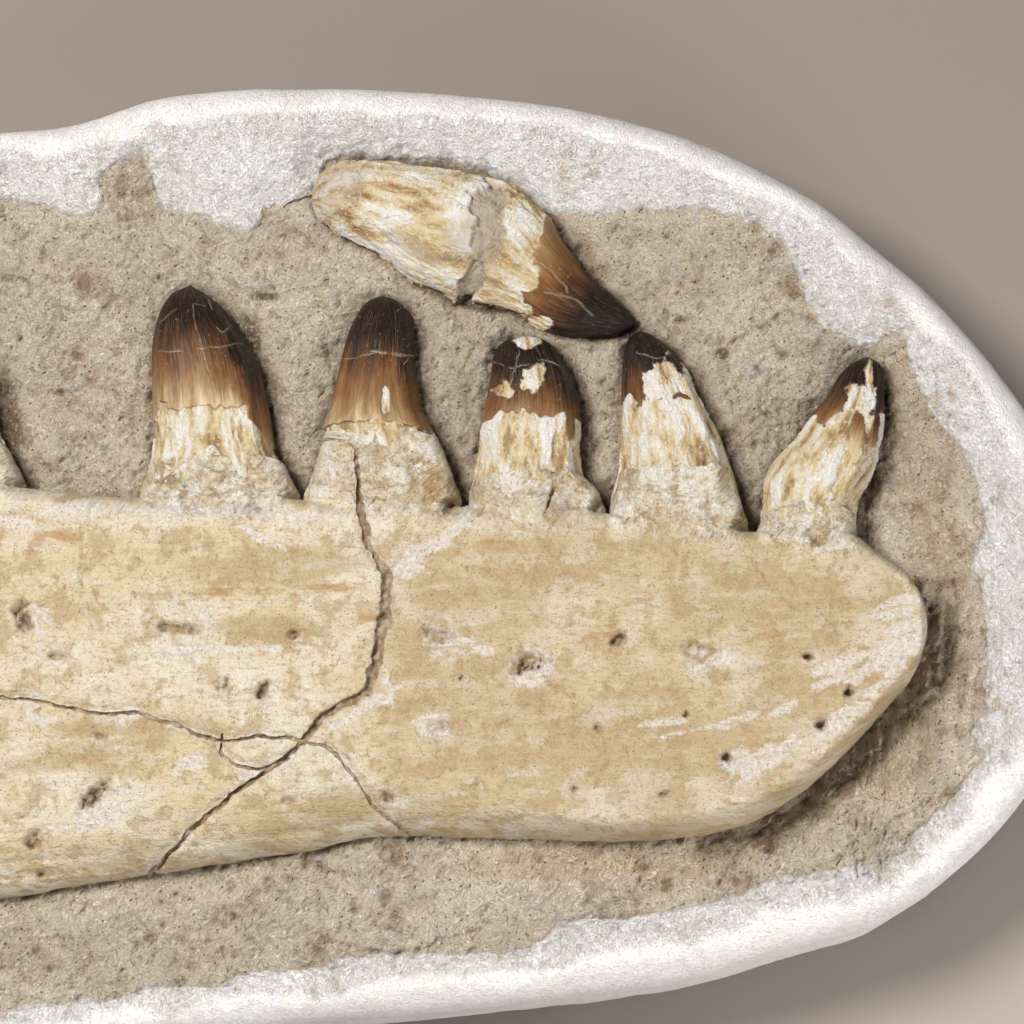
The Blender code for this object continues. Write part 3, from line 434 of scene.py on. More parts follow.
def rough(x, y, size, octaves=4, seed=0, fade=0.55, shrink=0.52, turned=True):
    """Noise in several sizes, each turned against the last, from about -1 to 1."""
    x, y = np.asarray(x, float), np.asarray(y, float)
    total, weight, scale = np.zeros_like(x), 0.0, 1.0
    for octave in range(octaves):
        total = total + scale * noise(x, y, size, seed + 17 * octave)
        weight += scale
        scale *= fade
        size *= shrink
        if turned:
            x, y = 0.8 * x - 0.6 * y, 0.6 * x + 0.8 * y
    return total / weight * 1.5


def streaky(x, y, size, stretch, octaves=4, seed=0):
    """Noise in several sizes, drawn out along x and never turned."""
    return rough(x / stretch, y, size, octaves, seed, 0.6, 0.5, turned=False)


def flakes(x, y, size, seed):
    """Thin layers broken away in patches: from 0 to 1 in three levels with steep edges."""
    level = rough(x, y, size, 5, seed, 0.62)
    return (step(-0.24, -0.17, level) + step(0.0, 0.06, level) + step(0.22, 0.28, level)) / 3


def flake_edges(flake):
    """1 where one of the three levels gives way to the next, and 0 on the levels."""
    part = (3 * flake) % 1
    return 4 * part * (1 - part)


def scattered(x, y, cell, seed, smallest=0.25, largest=0.45):
    """Round bumps from 0 to 1, one in each cell at a random place and of a random size."""
    x, y = np.asarray(x, float) / cell, np.asarray(y, float) / cell
    column, row = np.floor(x).astype(np.int64), np.floor(y).astype(np.int64)
    best = np.zeros_like(x)
    for i in (-1, 0, 1):
        for j in (-1, 0, 1):
            c, r = column + i, row + j
            centre_x = c + 0.5 + 0.45 * lattice(c, r, seed)
            centre_y = r + 0.5 + 0.45 * lattice(c, r, seed + 1)
            radius = smallest + (largest - smallest) * (0.5 + 0.5 * lattice(c, r, seed + 2))
            gap = np.hypot(x - centre_x, y - centre_y) / radius
            best = np.maximum(best, np.clip(1 - gap * gap, 0, 1))
    return best


def distance_to(path, x, y, reach):
    """Distance from each point to a path, and no more than reach."""
    nearest = np.full(len(x), float(reach))
    order = np.argsort(x)
    sorted_x = x[order]
    for (ax, ay), (bx, by) in zip(path, path[1:]):
        first, last = np.searchsorted(sorted_x, (min(ax, bx) - reach, max(ax, bx) + reach))
        some = order[first:last]
        some = some[np.abs(y[some] - (ay + by) / 2) < reach + abs(by - ay) / 2]
        dx, dy = bx - ax, by - ay
        share = ((x[some] - ax) * dx + (y[some] - ay) * dy) / max(dx * dx + dy * dy, 1e-9)
        share = np.clip(share, 0, 1)
        gap = np.hypot(x[some] - ax - share * dx, y[some] - ay - share * dy)
        nearest[some] = np.minimum(nearest[some], gap)
    return nearest


def inside(polygon, x, y):
    """Whether each point is inside a polygon."""
    result = np.zeros(len(x), bool)
    for (ax, ay), (bx, by) in zip(polygon, np.roll(polygon, -1, axis=0)):
        if ay == by:
            continue
        crosses = (ay > y) != (by > y)
        result ^= crosses & (x < (bx - ax) * (y - ay) / (by - ay) + ax)
    return result


def line_marks(paths, x, y, width, wobble, seed):
    """1 on any of the paths, falling off over the width, each path a little crooked."""
    marks = np.zeros(len(x))
    for path in paths:
        line = spaced(smooth_curve(path), every(0.5))
        shift = [rough(line[:, 0], line[:, 1], 3.0, 3, seed + side, 0.7) for side in (0, 1)]
        gap = distance_to(line + wobble * np.column_stack(shift), x, y, 4 * width + 1)
        marks = np.maximum(marks, np.exp(-((gap / width) ** 2)))
    return marks * (0.65 + 0.35 * noise(x, y, 2.0, seed + 5))


def along_and_across(oval, x, y):
    """Places along and across an oval or a pit, 1 at its ends."""
    turn = math.radians(oval.turn)
    dx, dy = x - oval.x, y - oval.y
    along = (dx * math.cos(turn) + dy * math.sin(turn)) / oval.length
    return along, (dy * math.cos(turn) - dx * math.sin(turn)) / oval.width


def patches(group, x, y, wobble, edge=0.12):
    """1 inside any of the ovals, whose edges wander by wobble, and 0 outside them."""
    best = np.full(len(x), -9.0)
    for oval in group:
        best = np.maximum(best, 1 - np.hypot(*along_and_across(oval, x, y)))
    return step(-edge, edge, best + wobble)


def to_rear(x):
    """0 in the part that the photo shows, and 1 well behind it."""
    return step(FRONT_START, FRONT_START - FRONT_BLEND, x)


def step_at(x):
    """How far apart points lie at x."""
    return FINE_STEP + (COARSE_STEP - FINE_STEP) * to_rear(x)


def jacket_edge():
    """The jacket's outer edge in plan, with the rim's width at each point."""
    drawn = anticlockwise(smooth_curve(JACKET_OUTLINE, closed=True))
    edge, width = drawn[:, :2], drawn[:, 2:]
    level = NEAR_SIDE + (FAR_SIDE - NEAR_SIDE) * step(-90, -40, edge[:, 1])
    outer = in_plan(edge, level)
    inner = in_plan(edge - width * outward(edge), RIM_INNER)
    return np.column_stack([outer, np.linalg.norm(inner - outer, axis=1)])


def middle_of(edge):
    """The middle of the jacket's box, measured on the points that the solids have."""
    closed = np.vstack([edge, edge[:1]])[:, :2]
    along = np.concatenate([[0], np.cumsum(np.linalg.norm(np.diff(closed, axis=0), axis=1))])
    wanted = np.linspace(0, along[-1], JACKET_POINTS, endpoint=False)
    points = np.column_stack([np.interp(wanted, along, column) for column in closed.T])
    return (points.min(axis=0) + points.max(axis=0)) / 2


JACKET_EDGE = jacket_edge()
MIDDLE = middle_of(JACKET_EDGE)
LOWER_CURVE = in_plan(smooth_curve(LOWER_EDGE), BONE_SIDE)
UPPER_CURVE = in_plan(smooth_curve(UPPER_EDGE), BONE_SIDE)
TIP_X = LOWER_CURVE[-1, 0]
REAR_X = LOWER_CURVE[0, 0]
BONE_LINE = np.vstack([LOWER_CURVE, UPPER_CURVE[::-1]])


def plaster_line():
    """The line where the plaster lies on the rock: ragged in front, and the rim's inner edge behind."""
    rim = JACKET_EDGE[:, :2] - JACKET_EDGE[:, 2:] * outward(JACKET_EDGE[:, :2])
    seen = in_plan(smooth_curve(PLASTER_EDGE, steps=6), RIM_INNER)
    behind = rim[rim[:, 0] < seen[0, 0] - 4]
    start = int(np.argmax(behind[:, 1] - 0.1 * np.abs(behind[:, 0] - seen[0, 0])))
    return anticlockwise(np.vstack([seen[::-1], np.roll(behind, -start, axis=0)]))


PLASTER_LINE = plaster_line()
PLASTER_LOOP = np.vstack([PLASTER_LINE, PLASTER_LINE[:1]])


def lower_edge(x):
    return np.interp(x, LOWER_CURVE[:, 0], LOWER_CURVE[:, 1])


def upper_edge(x):
    return np.interp(x, UPPER_CURVE[:, 0], UPPER_CURVE[:, 1])


def rounded(distance, radius):
    """Rises from 0 at the edge to 1 at radius, as a quarter circle does."""
    share = np.clip(np.asarray(distance, float) / radius, 0, 1)
    return np.sqrt(1 - (1 - share) ** 2)


def dome(x, y):
    """Height of the bone's plain outer face, nearly the same as in the solids."""
    lower_round = REAR_LOWER_ROUND + (FRONT_LOWER_ROUND - REAR_LOWER_ROUND) * step(*ROUND_CHANGES, x)
    upper_round = UPPER_ROUND + UPPER_ROUND_SPREAD * (0.5 + 0.5 * noise(x, 0 * x, 11, 6))
    rise = rounded(y - lower_edge(x), lower_round) * rounded(upper_edge(x) - y, upper_round)
    rise = rise * rounded(TIP_X - x, END_ROUND) * rounded(x - REAR_X, END_ROUND)
    swell = 1 + 0.06 * noise(x, y, 45, seed=3) + 0.03 * noise(x, y, 18, seed=4)
    return BONE_SIDE + BULGE * rise * swell


def tooth_rows():
    """For each tooth, y and its left and right edges in plan, from the jaw to the tip."""
    model = np.array(SEEN_TEETH[-1], float)
    share = (model[:, :1] - model[0, 0]) / (model[-1, 0] - model[0, 0])
    drawn = [np.array(rows, float) for rows in SEEN_TEETH]
    for x, size, lean in REAR_TEETH:
        edges = x + size * (model[:, 1:] - MODEL_TOOTH_X) - lean * share**2
        drawn.append(np.column_stack([float(upper_edge(x)) + size * (model[:, 0] - model[0, 0]), edges]))
    teeth = []
    for rows in drawn:
        left, right = (in_plan(rows[:, [side, 0]], TOOTH_AXIS) for side in (1, 2))
        teeth.append(smooth_curve(np.column_stack([left[:, 1], left[:, 0], right[:, 0]])))
    return teeth


TEETH = tooth_rows()


def seam_of(number):
    """How far over its foot a tooth's crown starts, and how far over it its enamel does."""
    if number < len(SEAMS):
        return SEAMS[number], ENAMEL_STARTS[number]
    size = REAR_TEETH[number - len(SEAMS)][1]
    return SEAMS[-1] * size, ENAMEL_STARTS[-1] * size


def tooth_edges(rows, y):
    """A tooth's left and right edge at each y."""
    return (np.interp(y, rows[:, 0], rows[:, side]) for side in (1, 2))


def collar_outline(number):
    """A root collar's outline from above, with a wavy top where it laps the crown."""
    rows = TEETH[number]
    foot = rows[0, 0]
    y = np.arange(foot - 6, foot + seam_of(number)[0], FINE_STEP)
    left, right = tooth_edges(rows, y)
    left = left + 0.5 * rough(left, y, 5, 4, 71)
    right = right + 0.5 * rough(right, y, 5, 4, 72)
    x = np.arange(right[-1] - FINE_STEP, left[-1] + 0.5, -FINE_STEP)
    across = 2 * (x - left[-1]) / (right[-1] - left[-1]) - 1
    crest = y[-1] + 1.9 * rough(x, 0 * x, 5, 5, 73 + number) * (1 - across**4) + 0.8 * (1 - across**2)
    foot_x = np.arange(left[0] + FINE_STEP, right[0] - 0.3, FINE_STEP)
    return anticlockwise(np.vstack([
        np.column_stack([right, y]), np.column_stack([x, crest]), np.column_stack([left, y])[::-1],
        np.column_stack([foot_x, np.full(len(foot_x), y[0])]),
    ]))


COLLARS = [collar_outline(number) for number in range(len(TEETH))]


def tooth_section(rows, y):
    """Middle, half width and relief of a tooth at each y, its root sunk into the bone below its foot."""
    left, right = tooth_edges(rows, y)
    sunk = np.clip((rows[0, 0] - y) / ROOT_SINK, 0, 1)
    half = (right - left) / 2 * (1 - 0.24 * sunk)
    relief = np.minimum(2 * TOOTH_RELIEF * half, MOST_RELIEF)
    return (left + right) / 2, half, relief * (1 - 0.5 * sunk)


def bone_outline():
    lower = spaced(LOWER_CURVE, step_at)
    upper = spaced(UPPER_CURVE, step_at)
    outline = anticlockwise(np.vstack([lower, upper[::-1][1:-1]]))
    x, y = outline.T
    upper_side = y > (lower_edge(x) + upper_edge(x)) / 2
    wave = np.where(upper_side, 1.0, 0.35) * rough(x, y, 7, 5, 61)
    return outline + wave[:, None] * outward(outline)


def break_outline(index, crack):
    """The two ragged sides of a break as one closed polygon."""
    path = spaced(in_plan(smooth_curve(crack.path), FACE_LEVEL), every(FINE_STEP))
    side = sideways(path)
    x, y = path.T
    shift = 0.35 * noise(x, y, 3.1, 40 + index)
    shift[[0, -1]] = 0
    half = np.linspace(crack.start_width, crack.end_width, len(path)) / 2
    sides = []
    for seed, way in ((43, -1), (47, 1)):
        ragged = half * (1 + 0.5 * rough(x, y, 2.3, 3, seed)) + 0.16 * rough(x, y, 0.9, 2, seed + 1)
        sides.append(path + side * (shift + way * np.maximum(ragged, 0.12))[:, None])
    return anticlockwise(np.vstack([sides[0], sides[1][::-1]]))


def pit_shape(pit, x, y):
    """How deep a pit is at each point, and how much of the broken-edged ring round it, each from 0 to 1. The
    ring lies towards the pit's lit far wall.
    """
    out = np.hypot(*along_and_across(pit, x, y)) + 0.35 * rough(x, y, 1.9, 4, 55)
    bite = 0.5 * max(0.0, min(1.0, (pit.depth - 0.9) / 1.2))
    size = min(pit.length, pit.width)
    ring_out = np.hypot((x - pit.x) / size - RING_SHIFT, (y - pit.y) / size + RING_SHIFT)
    ring_out = ring_out * size / max(size, 0.8 * pit.length)
    ring = step(1.1 + bite, 1.0 + bite, ring_out + 0.4 * rough(x, y, 3.5, 3, 54))
    return 1 - step(0.35, 1.05, out), ring


def within(place, x, y, reach):
    """Indices of the points within reach of a place."""
    return np.flatnonzero((np.abs(x - place[0]) < reach) & (np.abs(y - place[1]) < reach))


def add_collars(height, x, y):
    """Raises the bone's face to the teeth's root collars, and says how much of each point is collar."""
    collar = np.zeros_like(x)
    ridge = np.zeros_like(x)
    wander = 0.13 * rough(x, y, 9, 4, 29)
    for rows in TEETH:
        foot, top = rows[0, 0], rows[-1, 0]
        middle = (rows[0, 1] + rows[0, 2]) / 2
        some = within((middle, foot), x, y, 42)
        some = some[(y[some] > foot - ROOT_SINK) & (y[some] < top)]
        centre, half, relief = tooth_section(rows, y[some])
        across = (x[some] - centre) / np.maximum(half, 0.5)
        arch = TOOTH_AXIS + relief * np.clip(1 - np.abs(across) ** 2.5, 0, 1) ** 0.4
        reach = step(-ROOT_SINK, -4, y[some] - foot) * step(1.12, 0.92, np.abs(across) + wander[some])
        over = arch - height[some]
        blend = 5.0
        mix = np.clip(0.5 + 0.5 * over / blend, 0, 1)
        raised = height[some] * (1 - mix) + arch * mix + blend * mix * (1 - mix) * 0.5
        height[some] = np.where(np.abs(across) < 1.1, raised, height[some])
        collar[some] = np.maximum(collar[some], reach)
        ridge[some] = rough(across * 11, (y[some] - foot) / 3.5, 2.2, 4, 31) * reach
    return collar, ridge


def bone_surface(x, y):
    """Height of the bone and of the teeth's collars, and the masks that its material uses."""
    height = dome(x, y)
    collar, ridge = add_collars(height, x, y)
    above = y > upper_edge(x) - 0.4
    height = np.where(above, np.maximum(height, TOOTH_AXIS + 0.2), height)
    seen_x, seen_y = as_seen(x, y, height)
    collar = collar * step(-14, 2, y - upper_edge(x) + 7 * rough(x, y, 9, 5, 30))
    flake = flakes(x, y, 7, 31)
    crumbs = rough(x, y, 2.4, 4, 32)
    worn = 1.2 * (flake - 0.5) + 0.6 * (flakes(x, y, 3.4, 26) - 0.5) + 0.5 * crumbs
    height = height + 0.6 * ridge + collar * worn
    height = height + 0.5 * rough(x, y, 18, 3, 33) + 0.3 * rough(x, y, 6, 4, 34)
    height = height + 0.10 * streaky(x, y, 1.2, 6, 3, 35) + 0.05 * rough(x, y, 1.5, 3, 28)
    near_top = np.exp(-np.clip(upper_edge(x) - y, 0, 40) / 5)
    height = height + 0.7 * near_top * rough(x, y, 4.5, 4, 52)

    turn = GRAIN_TURN * step(40, 80, x)
    grain_x, grain_y = x * np.cos(turn) + y * np.sin(turn), y * np.cos(turn) - x * np.sin(turn)
    skin = 0.95 * streaky(grain_x, grain_y, 3.6, 3.0, 5, 36) + 0.5 * rough(x, y, 6, 5, 37)
    white = patches(BONE_WHITE, seen_x, seen_y, skin - 0.12, edge=0.05)
    stray = step(0.75, 0.83, skin + 0.5 * rough(x, y, 30, 2, 38)) * step(60, -20, x) * 0.7
    white = np.maximum(white, stray)
    height = height - 0.32 * white * (1 - collar) * (1 + 0.5 * rough(x, y, 1.2, 3, 39))
    wobble = 0.5 * rough(x, y, 14, 5, 40) + 0.35 * streaky(x, y, 3, 5, 4, 41)
    tan = patches(BONE_TAN, seen_x, seen_y, wobble, edge=0.5)
    tan = np.maximum(tan, step(-38, -26, seen_x) * (0.62 + 0.5 * rough(x, y, 11, 5, 27)))
    rust = patches(BONE_RUST, seen_x, seen_y, 0.6 * streaky(x, y, 1.8, 3, 4, 42), edge=0.3)

    # Dark brown in the collars' flake edges and low crumbs, in the pits and along the hairlines: partly
    # grime, partly painted shade in these hollows
    dirt_and_shade = collar * np.maximum(0.25 * flake_edges(flake), 0.45 * step(-0.45, -0.8, crumbs + 0.6 * ridge))
    lit_chipped_ring = np.zeros_like(x)
    for pit in PITS:
        some = within((pit.x, pit.y), seen_x, seen_y, 2 * max(pit.length, pit.width) + 3)
        depth, ring = pit_shape(pit, seen_x[some], seen_y[some])
        grit = rough(x[some], y[some], 1.3, 3, 56)
        height[some] -= 1.25 * pit.depth * depth * (1 + 0.4 * grit) + 0.35 * ring * (1 + grit)
        # Deeper pits are darker: grime and painted shade
        dirt_and_shade[some] = np.maximum(dirt_and_shade[some], step(0.45, 1.0, depth + 0.45 * grit) * min(0.85, pit.depth / 2))
        lit_chipped_ring[some] = np.maximum(lit_chipped_ring[some], ring * step(0.75, 0.4, depth))
    # Pale rings by the pits: broken rims, partly painted highlight on the pits' lit far walls
    white = np.maximum(white, 0.65 * lit_chipped_ring * step(-0.4, 0.2, rough(x, y, 3, 4, 53)))

    groove = in_plan(smooth_curve(LOWER_GROOVE), FACE_LEVEL - 4)
    gap = distance_to(groove, x, y, 4)
    below = (y < np.interp(x, groove[:, 0], groove[:, 1])) & (x < -28)
    height = height - 0.5 * np.exp(-((gap / 0.9) ** 2)) - 0.6 * below * step(0, 3, gap) * (gap < 4)
    height = height + 0.35 * below * streaky(x, y, 2.2, 6, 3, 57)
    lip = in_plan(smooth_curve(LIP), LIP_LEVEL)
    edge = np.interp(x, lip[:, 0], lip[:, 1]) + 0.7 * rough(x, y, 3, 3, 58)
    under = (x > lip[0, 0]) & (x < lip[-1, 0]) & (y < edge)
    height = height - 1.1 * under
    white = np.maximum(white, 0.6 * under * step(0, 0.4, rough(x, y, 4, 4, 59)))

    fine = line_marks(HAIRLINES, seen_x, seen_y, 0.26, 0.7, 44) * step(-0.6, 0.1, rough(x, y, 7, 3, 46))
    height = height - 0.4 * fine
    # The hairlines are darkened: grime and painted shade in the cracks
    dirt_and_shade = np.maximum(dirt_and_shade, 0.55 * fine)

    broken = np.full(len(x), 5.0)
    for crack in BREAKS:
        broken = np.minimum(broken, distance_to(in_plan(smooth_curve(crack.path), FACE_LEVEL), x, y, 5))
    edge = np.clip(broken - 0.8 - 0.7 * np.abs(rough(x, y, 2.5, 3, 47)), 0, None)
    bevel = np.exp(-edge / 0.5) * (broken < 4)
    height = height - 0.9 * bevel
    white = np.maximum(white, 0.8 * bevel * step(-0.2, 0.3, rough(x, y, 5, 3, 48)))
    height = np.minimum(height, TALLEST)
    masks = {"white": white, "tan": tan, "rust": rust, "dirt_and_shade": dirt_and_shade, "collar": collar, "flake": flake}
    return height, masks


def triangulate(outlines, cuts, points):
    """Triangles over the outlines, those in a cut kept apart."""
    corners, faces = [], []
    for polygon in [*outlines, *cuts]:
        faces.append(list(range(len(corners), len(corners) + len(polygon))))
        corners.extend(Vector(p) for p in polygon)
    corners.extend(Vector(p) for p in points)
    flat, _, triangles, _, _, sources = delaunay_2d_cdt(corners, [], faces, 1, 1e-4)
    flat = np.array([tuple(p) for p in flat])
    body, filling = [], []
    for triangle, source in zip(triangles, sources):
        in_cut = any(i >= len(outlines) for i in source)
        on_bone = any(i < len(outlines) for i in source)
        if on_bone:
            (filling if in_cut else body).append(triangle)
    return flat, np.array(body), np.array(filling)


def split_apart(triangles, count):
    """A label for each triangle, the same for those that hang together."""
    parent = list(range(count))

    def root(i):
        while parent[i] != i:
            parent[i] = parent[parent[i]]
            i = parent[i]
        return i

    for a, b, c in triangles.tolist():
        ra, rb, rc = root(a), root(b), root(c)
        parent[rb] = ra
        parent[rc] = ra
    return np.array([root(a) for a in triangles[:, 0].tolist()])


def boundary_edges(triangles):
    """The directed edges that only one triangle has."""
    edges = np.concatenate([triangles[:, [0, 1]], triangles[:, [1, 2]], triangles[:, [2, 0]]])
    key = edges.min(axis=1) * (edges.max() + 1) + edges.max(axis=1)
    _, first, count = np.unique(key, return_index=True, return_counts=True)
    return edges[first[count == 1]]


def add_mesh(name, points, faces, material, attributes=None):
    """A mesh object from points in plan, with a number or a vector for each point."""
    points = np.array(points, float)
    points[:, :2] -= MIDDLE
    mesh = bpy.data.meshes.new(name)
    mesh.from_pydata((points * MILLIMETRE).tolist(), [], faces)
    for key, values in (attributes or {}).items():
        values = np.asarray(values, np.float32)
        vector = values.ndim == 2
        layer = mesh.attributes.new(key, "FLOAT_VECTOR" if vector else "FLOAT", "POINT")
        layer.data.foreach_set("vector" if vector else "value", values.ravel())
    mesh.shade_smooth()
    mesh.materials.append(material)
    made = bpy.data.objects.new(name, mesh)
    bpy.context.scene.collection.objects.link(made)
    return made


def add_piece(made, slot, *nodes):
    """Parents a piece to the root body and hides the solids' parts that it stands for."""
    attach(made, "root")
    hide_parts(*nodes)


def renumbered(faces, count):
    """The points that some faces use, and the faces with those points numbered from 0."""
    used = np.unique(faces)
    index = np.full(count, -1)
    index[used] = np.arange(len(used))
    return used, index[faces], index


def bone_points(outlines):
    """Mesh points over the bone: a triangular grid, and rows close inside each outline."""
    grid = []
    x = TIP_X + 1
    column = 0
    while x > REAR_X - 1:
        gap = float(step_at(x))
        y = np.arange(-118 + gap / 2 * (column % 2), 42, gap)
        grid.append(np.column_stack([np.full(len(y), x), y]))
        x -= gap * math.sqrt(0.75)
        column += 1
    grid = np.vstack(grid)
    x, y = grid.T
    keep = (y > lower_edge(x) + 0.6) & (y < upper_edge(x) - 0.6)
    for outline in outlines[1:]:
        low, high = outline.min(axis=0), outline.max(axis=0)
        some = np.flatnonzero((x > low[0]) & (x < high[0]) & (y > low[1]) & (y < high[1]))
        keep[some] |= inside(outline, x[some], y[some])
    grid = grid[keep]
    rows = [outline - inset * outward(outline) for outline in outlines for inset in BONE_INSETS]
    return np.vstack([grid, *rows])


def make_bone(material, filling_material):
    """The dentary's pieces with their tooth collars, and the dust in the breaks between them."""
    outlines = [bone_outline(), *COLLARS]
    cuts = [break_outline(i, crack) for i, crack in enumerate(BREAKS)]
    flat, triangles, filling = triangulate(outlines, cuts, bone_points(outlines))
    height, masks = bone_surface(flat[:, 0], flat[:, 1])
    labels = split_apart(triangles, len(flat))
    middles = flat[triangles].mean(axis=1)
    for name, place in PIECES.items():
        label = labels[np.linalg.norm(middles - in_plan(place, FACE_LEVEL), axis=1).argmin()]
        own = triangles[labels == label]
        used, faces, index = renumbered(own, len(flat))
        top = np.column_stack([flat[used], height[used]])
        edges = index[boundary_edges(own)]
        rim = np.unique(edges)
        lower = np.full(len(used), -1)
        lower[rim] = len(used) + np.arange(len(rim))
        foot = top[rim].copy()
        foot[:, 2] = np.where(foot[:, 1] > upper_edge(foot[:, 0]) + 0.5, TOOTH_BED + GAP, BONE_BED + GAP)
        walls = np.column_stack([edges[:, 1], edges[:, 0], lower[edges[:, 0]], lower[edges[:, 1]]])
        values = {key: np.concatenate([mask[used], mask[used][rim]]) for key, mask in masks.items()}
        points = np.vstack([top, foot])
        piece = add_mesh(name + "_bone", points, faces.tolist() + walls.tolist(), material, values)
        piece.data.set_sharp_from_angle(angle=SHARP_EDGE)
        add_piece(piece, "bone", name)
    used, faces, _ = renumbered(filling, len(flat))
    x, y = flat[used].T
    depth = 1.1 + 0.9 * rough(x, y, 3.5, 4, 81) + 0.5 * noise(x, y, 0.9, 82)
    floor = np.column_stack([x, y, height[used] - np.clip(depth, 0.5, 5)])
    add_piece(add_mesh("break_filling", floor, faces.tolist(), filling_material), "rock", "rock_matrix")


# Where each seen crown has lost its enamel, front tooth first, and where it keeps some below the rest
CROWN_BARE = [
    ovals((87, 27.5, 4.2, 4.4, 60), (89.3, 34, 1.1, 4, 0)),
    ovals((37.5, 33, 5.6, 5.2, 0), (45, 31, 3, 6, 20)),
    ovals((3.6, 42.8, 3.4, 2.0, 0), (5.2, 33.6, 3.4, 3.6, 0), (-2, 30.5, 2.6, 2.2, 0)),
    ovals((-31.8, 27.8, 1.3, 3.4, 0)),
    ovals((-87.5, 24, 1.6, 3.5, 0)),
]
CROWN_KEPT = [
    ovals((86.2, 18.6, 1.8, 6, -4), (91.3, 22, 1.1, 8, -2), (79.5, 26.5, 4.5, 2.6, 50)),
    ovals((31, 33, 1.8, 7, 3)),
    ovals((14.5, 23, 1.6, 5, 0)),
    [],
    ovals((-60.5, 21, 1.6, 8, -3), (-63.5, 26, 3, 5, 0)),
]
SHADED_TOOTH = 4  # this crown's side away from the light is darkest
# How dark each crown's enamel is where it starts, from 0 for honey to 1 for black
DARK_FROM = [0.36, 0.42, 0.26, 0.06, 0.02]
REAR_DARK_FROM = 0.05
CROWN_HAIRLINES = [
    [[(78, 22), (84, 25.5), (88, 24)], [(84, 28), (88, 31), (90, 36)], [(72, 14), (80, 17), (88, 12)]],
    [[(31, 40), (36, 38.5), (41, 40)], [(34, 26), (35, 18), (33, 12)], [(42, 26), (45, 18), (46, 10)]],
    [[(-5, 38), (1, 36), (8, 38), (13, 35)], [(2, 42), (1, 36), (-1, 30)], [(6, 20), (5, 14), (6, 9)]],
    [[(-43.5, 38.3), (-38, 39), (-32, 39.5), (-28, 39), (-24, 39.2)], [(-35, 40), (-27, 39.4), (-24, 38.9)]],
    [[(-89, 47), (-85, 50), (-80.5, 52), (-77, 52)], [(-77, 55.5), (-75, 50.5), (-73, 45.5), (-70, 47)],
     [(-90, 40.5), (-83, 40), (-74, 41.5), (-67, 42)],
     [(-80, 52), (-78, 43), (-76, 35.5), (-74.5, 31), (-72.5, 28)]],
]


def crown_masks(number, x, y, seen_x, seen_y, foot):
    """Where a crown keeps its enamel, and where a pale hairline crosses it."""
    start = foot + seam_of(number)[1] + 1.6 * rough(x, y, 6, 4, number + 5)
    start = start + 0.8 * noise(x, 0 * y, 1.4, number + 6)
    enamel = step(-0.12, 0.12, y - start)
    hairline = np.zeros_like(x)
    if number < len(SEEN_TEETH):
        wobble = 0.4 * rough(x, y, 2.6, 4, number + 7)
        kept = patches(CROWN_KEPT[number], seen_x, seen_y, wobble, 0.05)
        enamel = np.maximum(enamel * (1 - patches(CROWN_BARE[number], seen_x, seen_y, wobble, 0.05)), kept)
        hairline = line_marks(CROWN_HAIRLINES[number], seen_x, seen_y, 0.12, 0.5, 91)
        hairline = hairline * step(-0.5, 0.1, rough(x, y, 3.0, 3, number + 8))
    return enamel, hairline


def grid_quads(rows, columns):
    """Quads over a grid of points stored row by row, facing up."""
    corner = (np.arange(rows - 1)[:, None] * columns + np.arange(columns - 1)).ravel()
    return np.column_stack([corner, corner + 1, corner + columns + 1, corner + columns])


def arched_mesh(name, centre, side, half, relief, lift, masks, material):
    """A half-round body over a path, its surface moved out by lift, with skirts down into the rock."""
    rings, size = lift.shape
    angle = np.linspace(0, math.pi, size)
    across = np.cos(angle) * (half[:, None] + lift)
    up = np.sin(angle) * (relief[:, None] + lift)
    x = centre[:, :1] + side[:, :1] * across
    y = centre[:, 1:] + side[:, 1:] * across
    z = np.minimum(TOOTH_AXIS + up, TALLEST)
    points = np.stack([x, y, z], axis=-1).reshape(-1, 3)
    faces = grid_quads(rings, size).tolist()
    skirts = []
    for number, end in enumerate((0, size - 1)):
        low = rings * size + number * rings
        quads = [(r * size + end, (r + 1) * size + end, low + r + 1, low + r) for r in range(rings - 1)]
        faces += quads if number else [quad[::-1] for quad in quads]
        skirts.append(np.column_stack([x[:, end], y[:, end], np.full(rings, TOOTH_BED + GAP)]))
    picked = np.concatenate([np.arange(rings) * size, np.arange(rings) * size + size - 1])
    values = {key: np.concatenate([mask, mask[picked]]) for key, mask in masks.items()}
    return add_mesh(name, np.vstack([points, *skirts]), faces, material, values)


def tooth_relief(x, y, enamel, grain, seed):
    """How far the surface stands out, enamel over cement, and the level of the cement's flakes."""
    flake = flakes(grain[:, 0], grain[:, 1] / 1.6, 4.6, seed)
    flaky = 0.8 * (flake - 0.5) + 0.2 * rough(grain[:, 0], grain[:, 1] / 3, 1.3, 4, seed + 1)
    ribs = 0.07 * noise(grain[:, 0], grain[:, 1] / 14, 0.7, seed + 2) + 0.06 * rough(x, y, 5, 3, seed + 3)
    return -0.3 + (1 - enamel) * flaky + enamel * (0.3 + ribs), flake


def half_round(centre, side, half, relief, size):
    """The angles round a half-round body, and its points in plan and as seen."""
    angle = np.linspace(0, math.pi, size)
    x = (centre[:, :1] + side[:, :1] * half[:, None] * np.cos(angle)).ravel()
    y = (centre[:, 1:] + side[:, 1:] * half[:, None] * np.cos(angle)).ravel()
    level = (TOOTH_AXIS + relief[:, None] * np.sin(angle)).ravel()
    return angle, x, y, *as_seen(x, y, level)


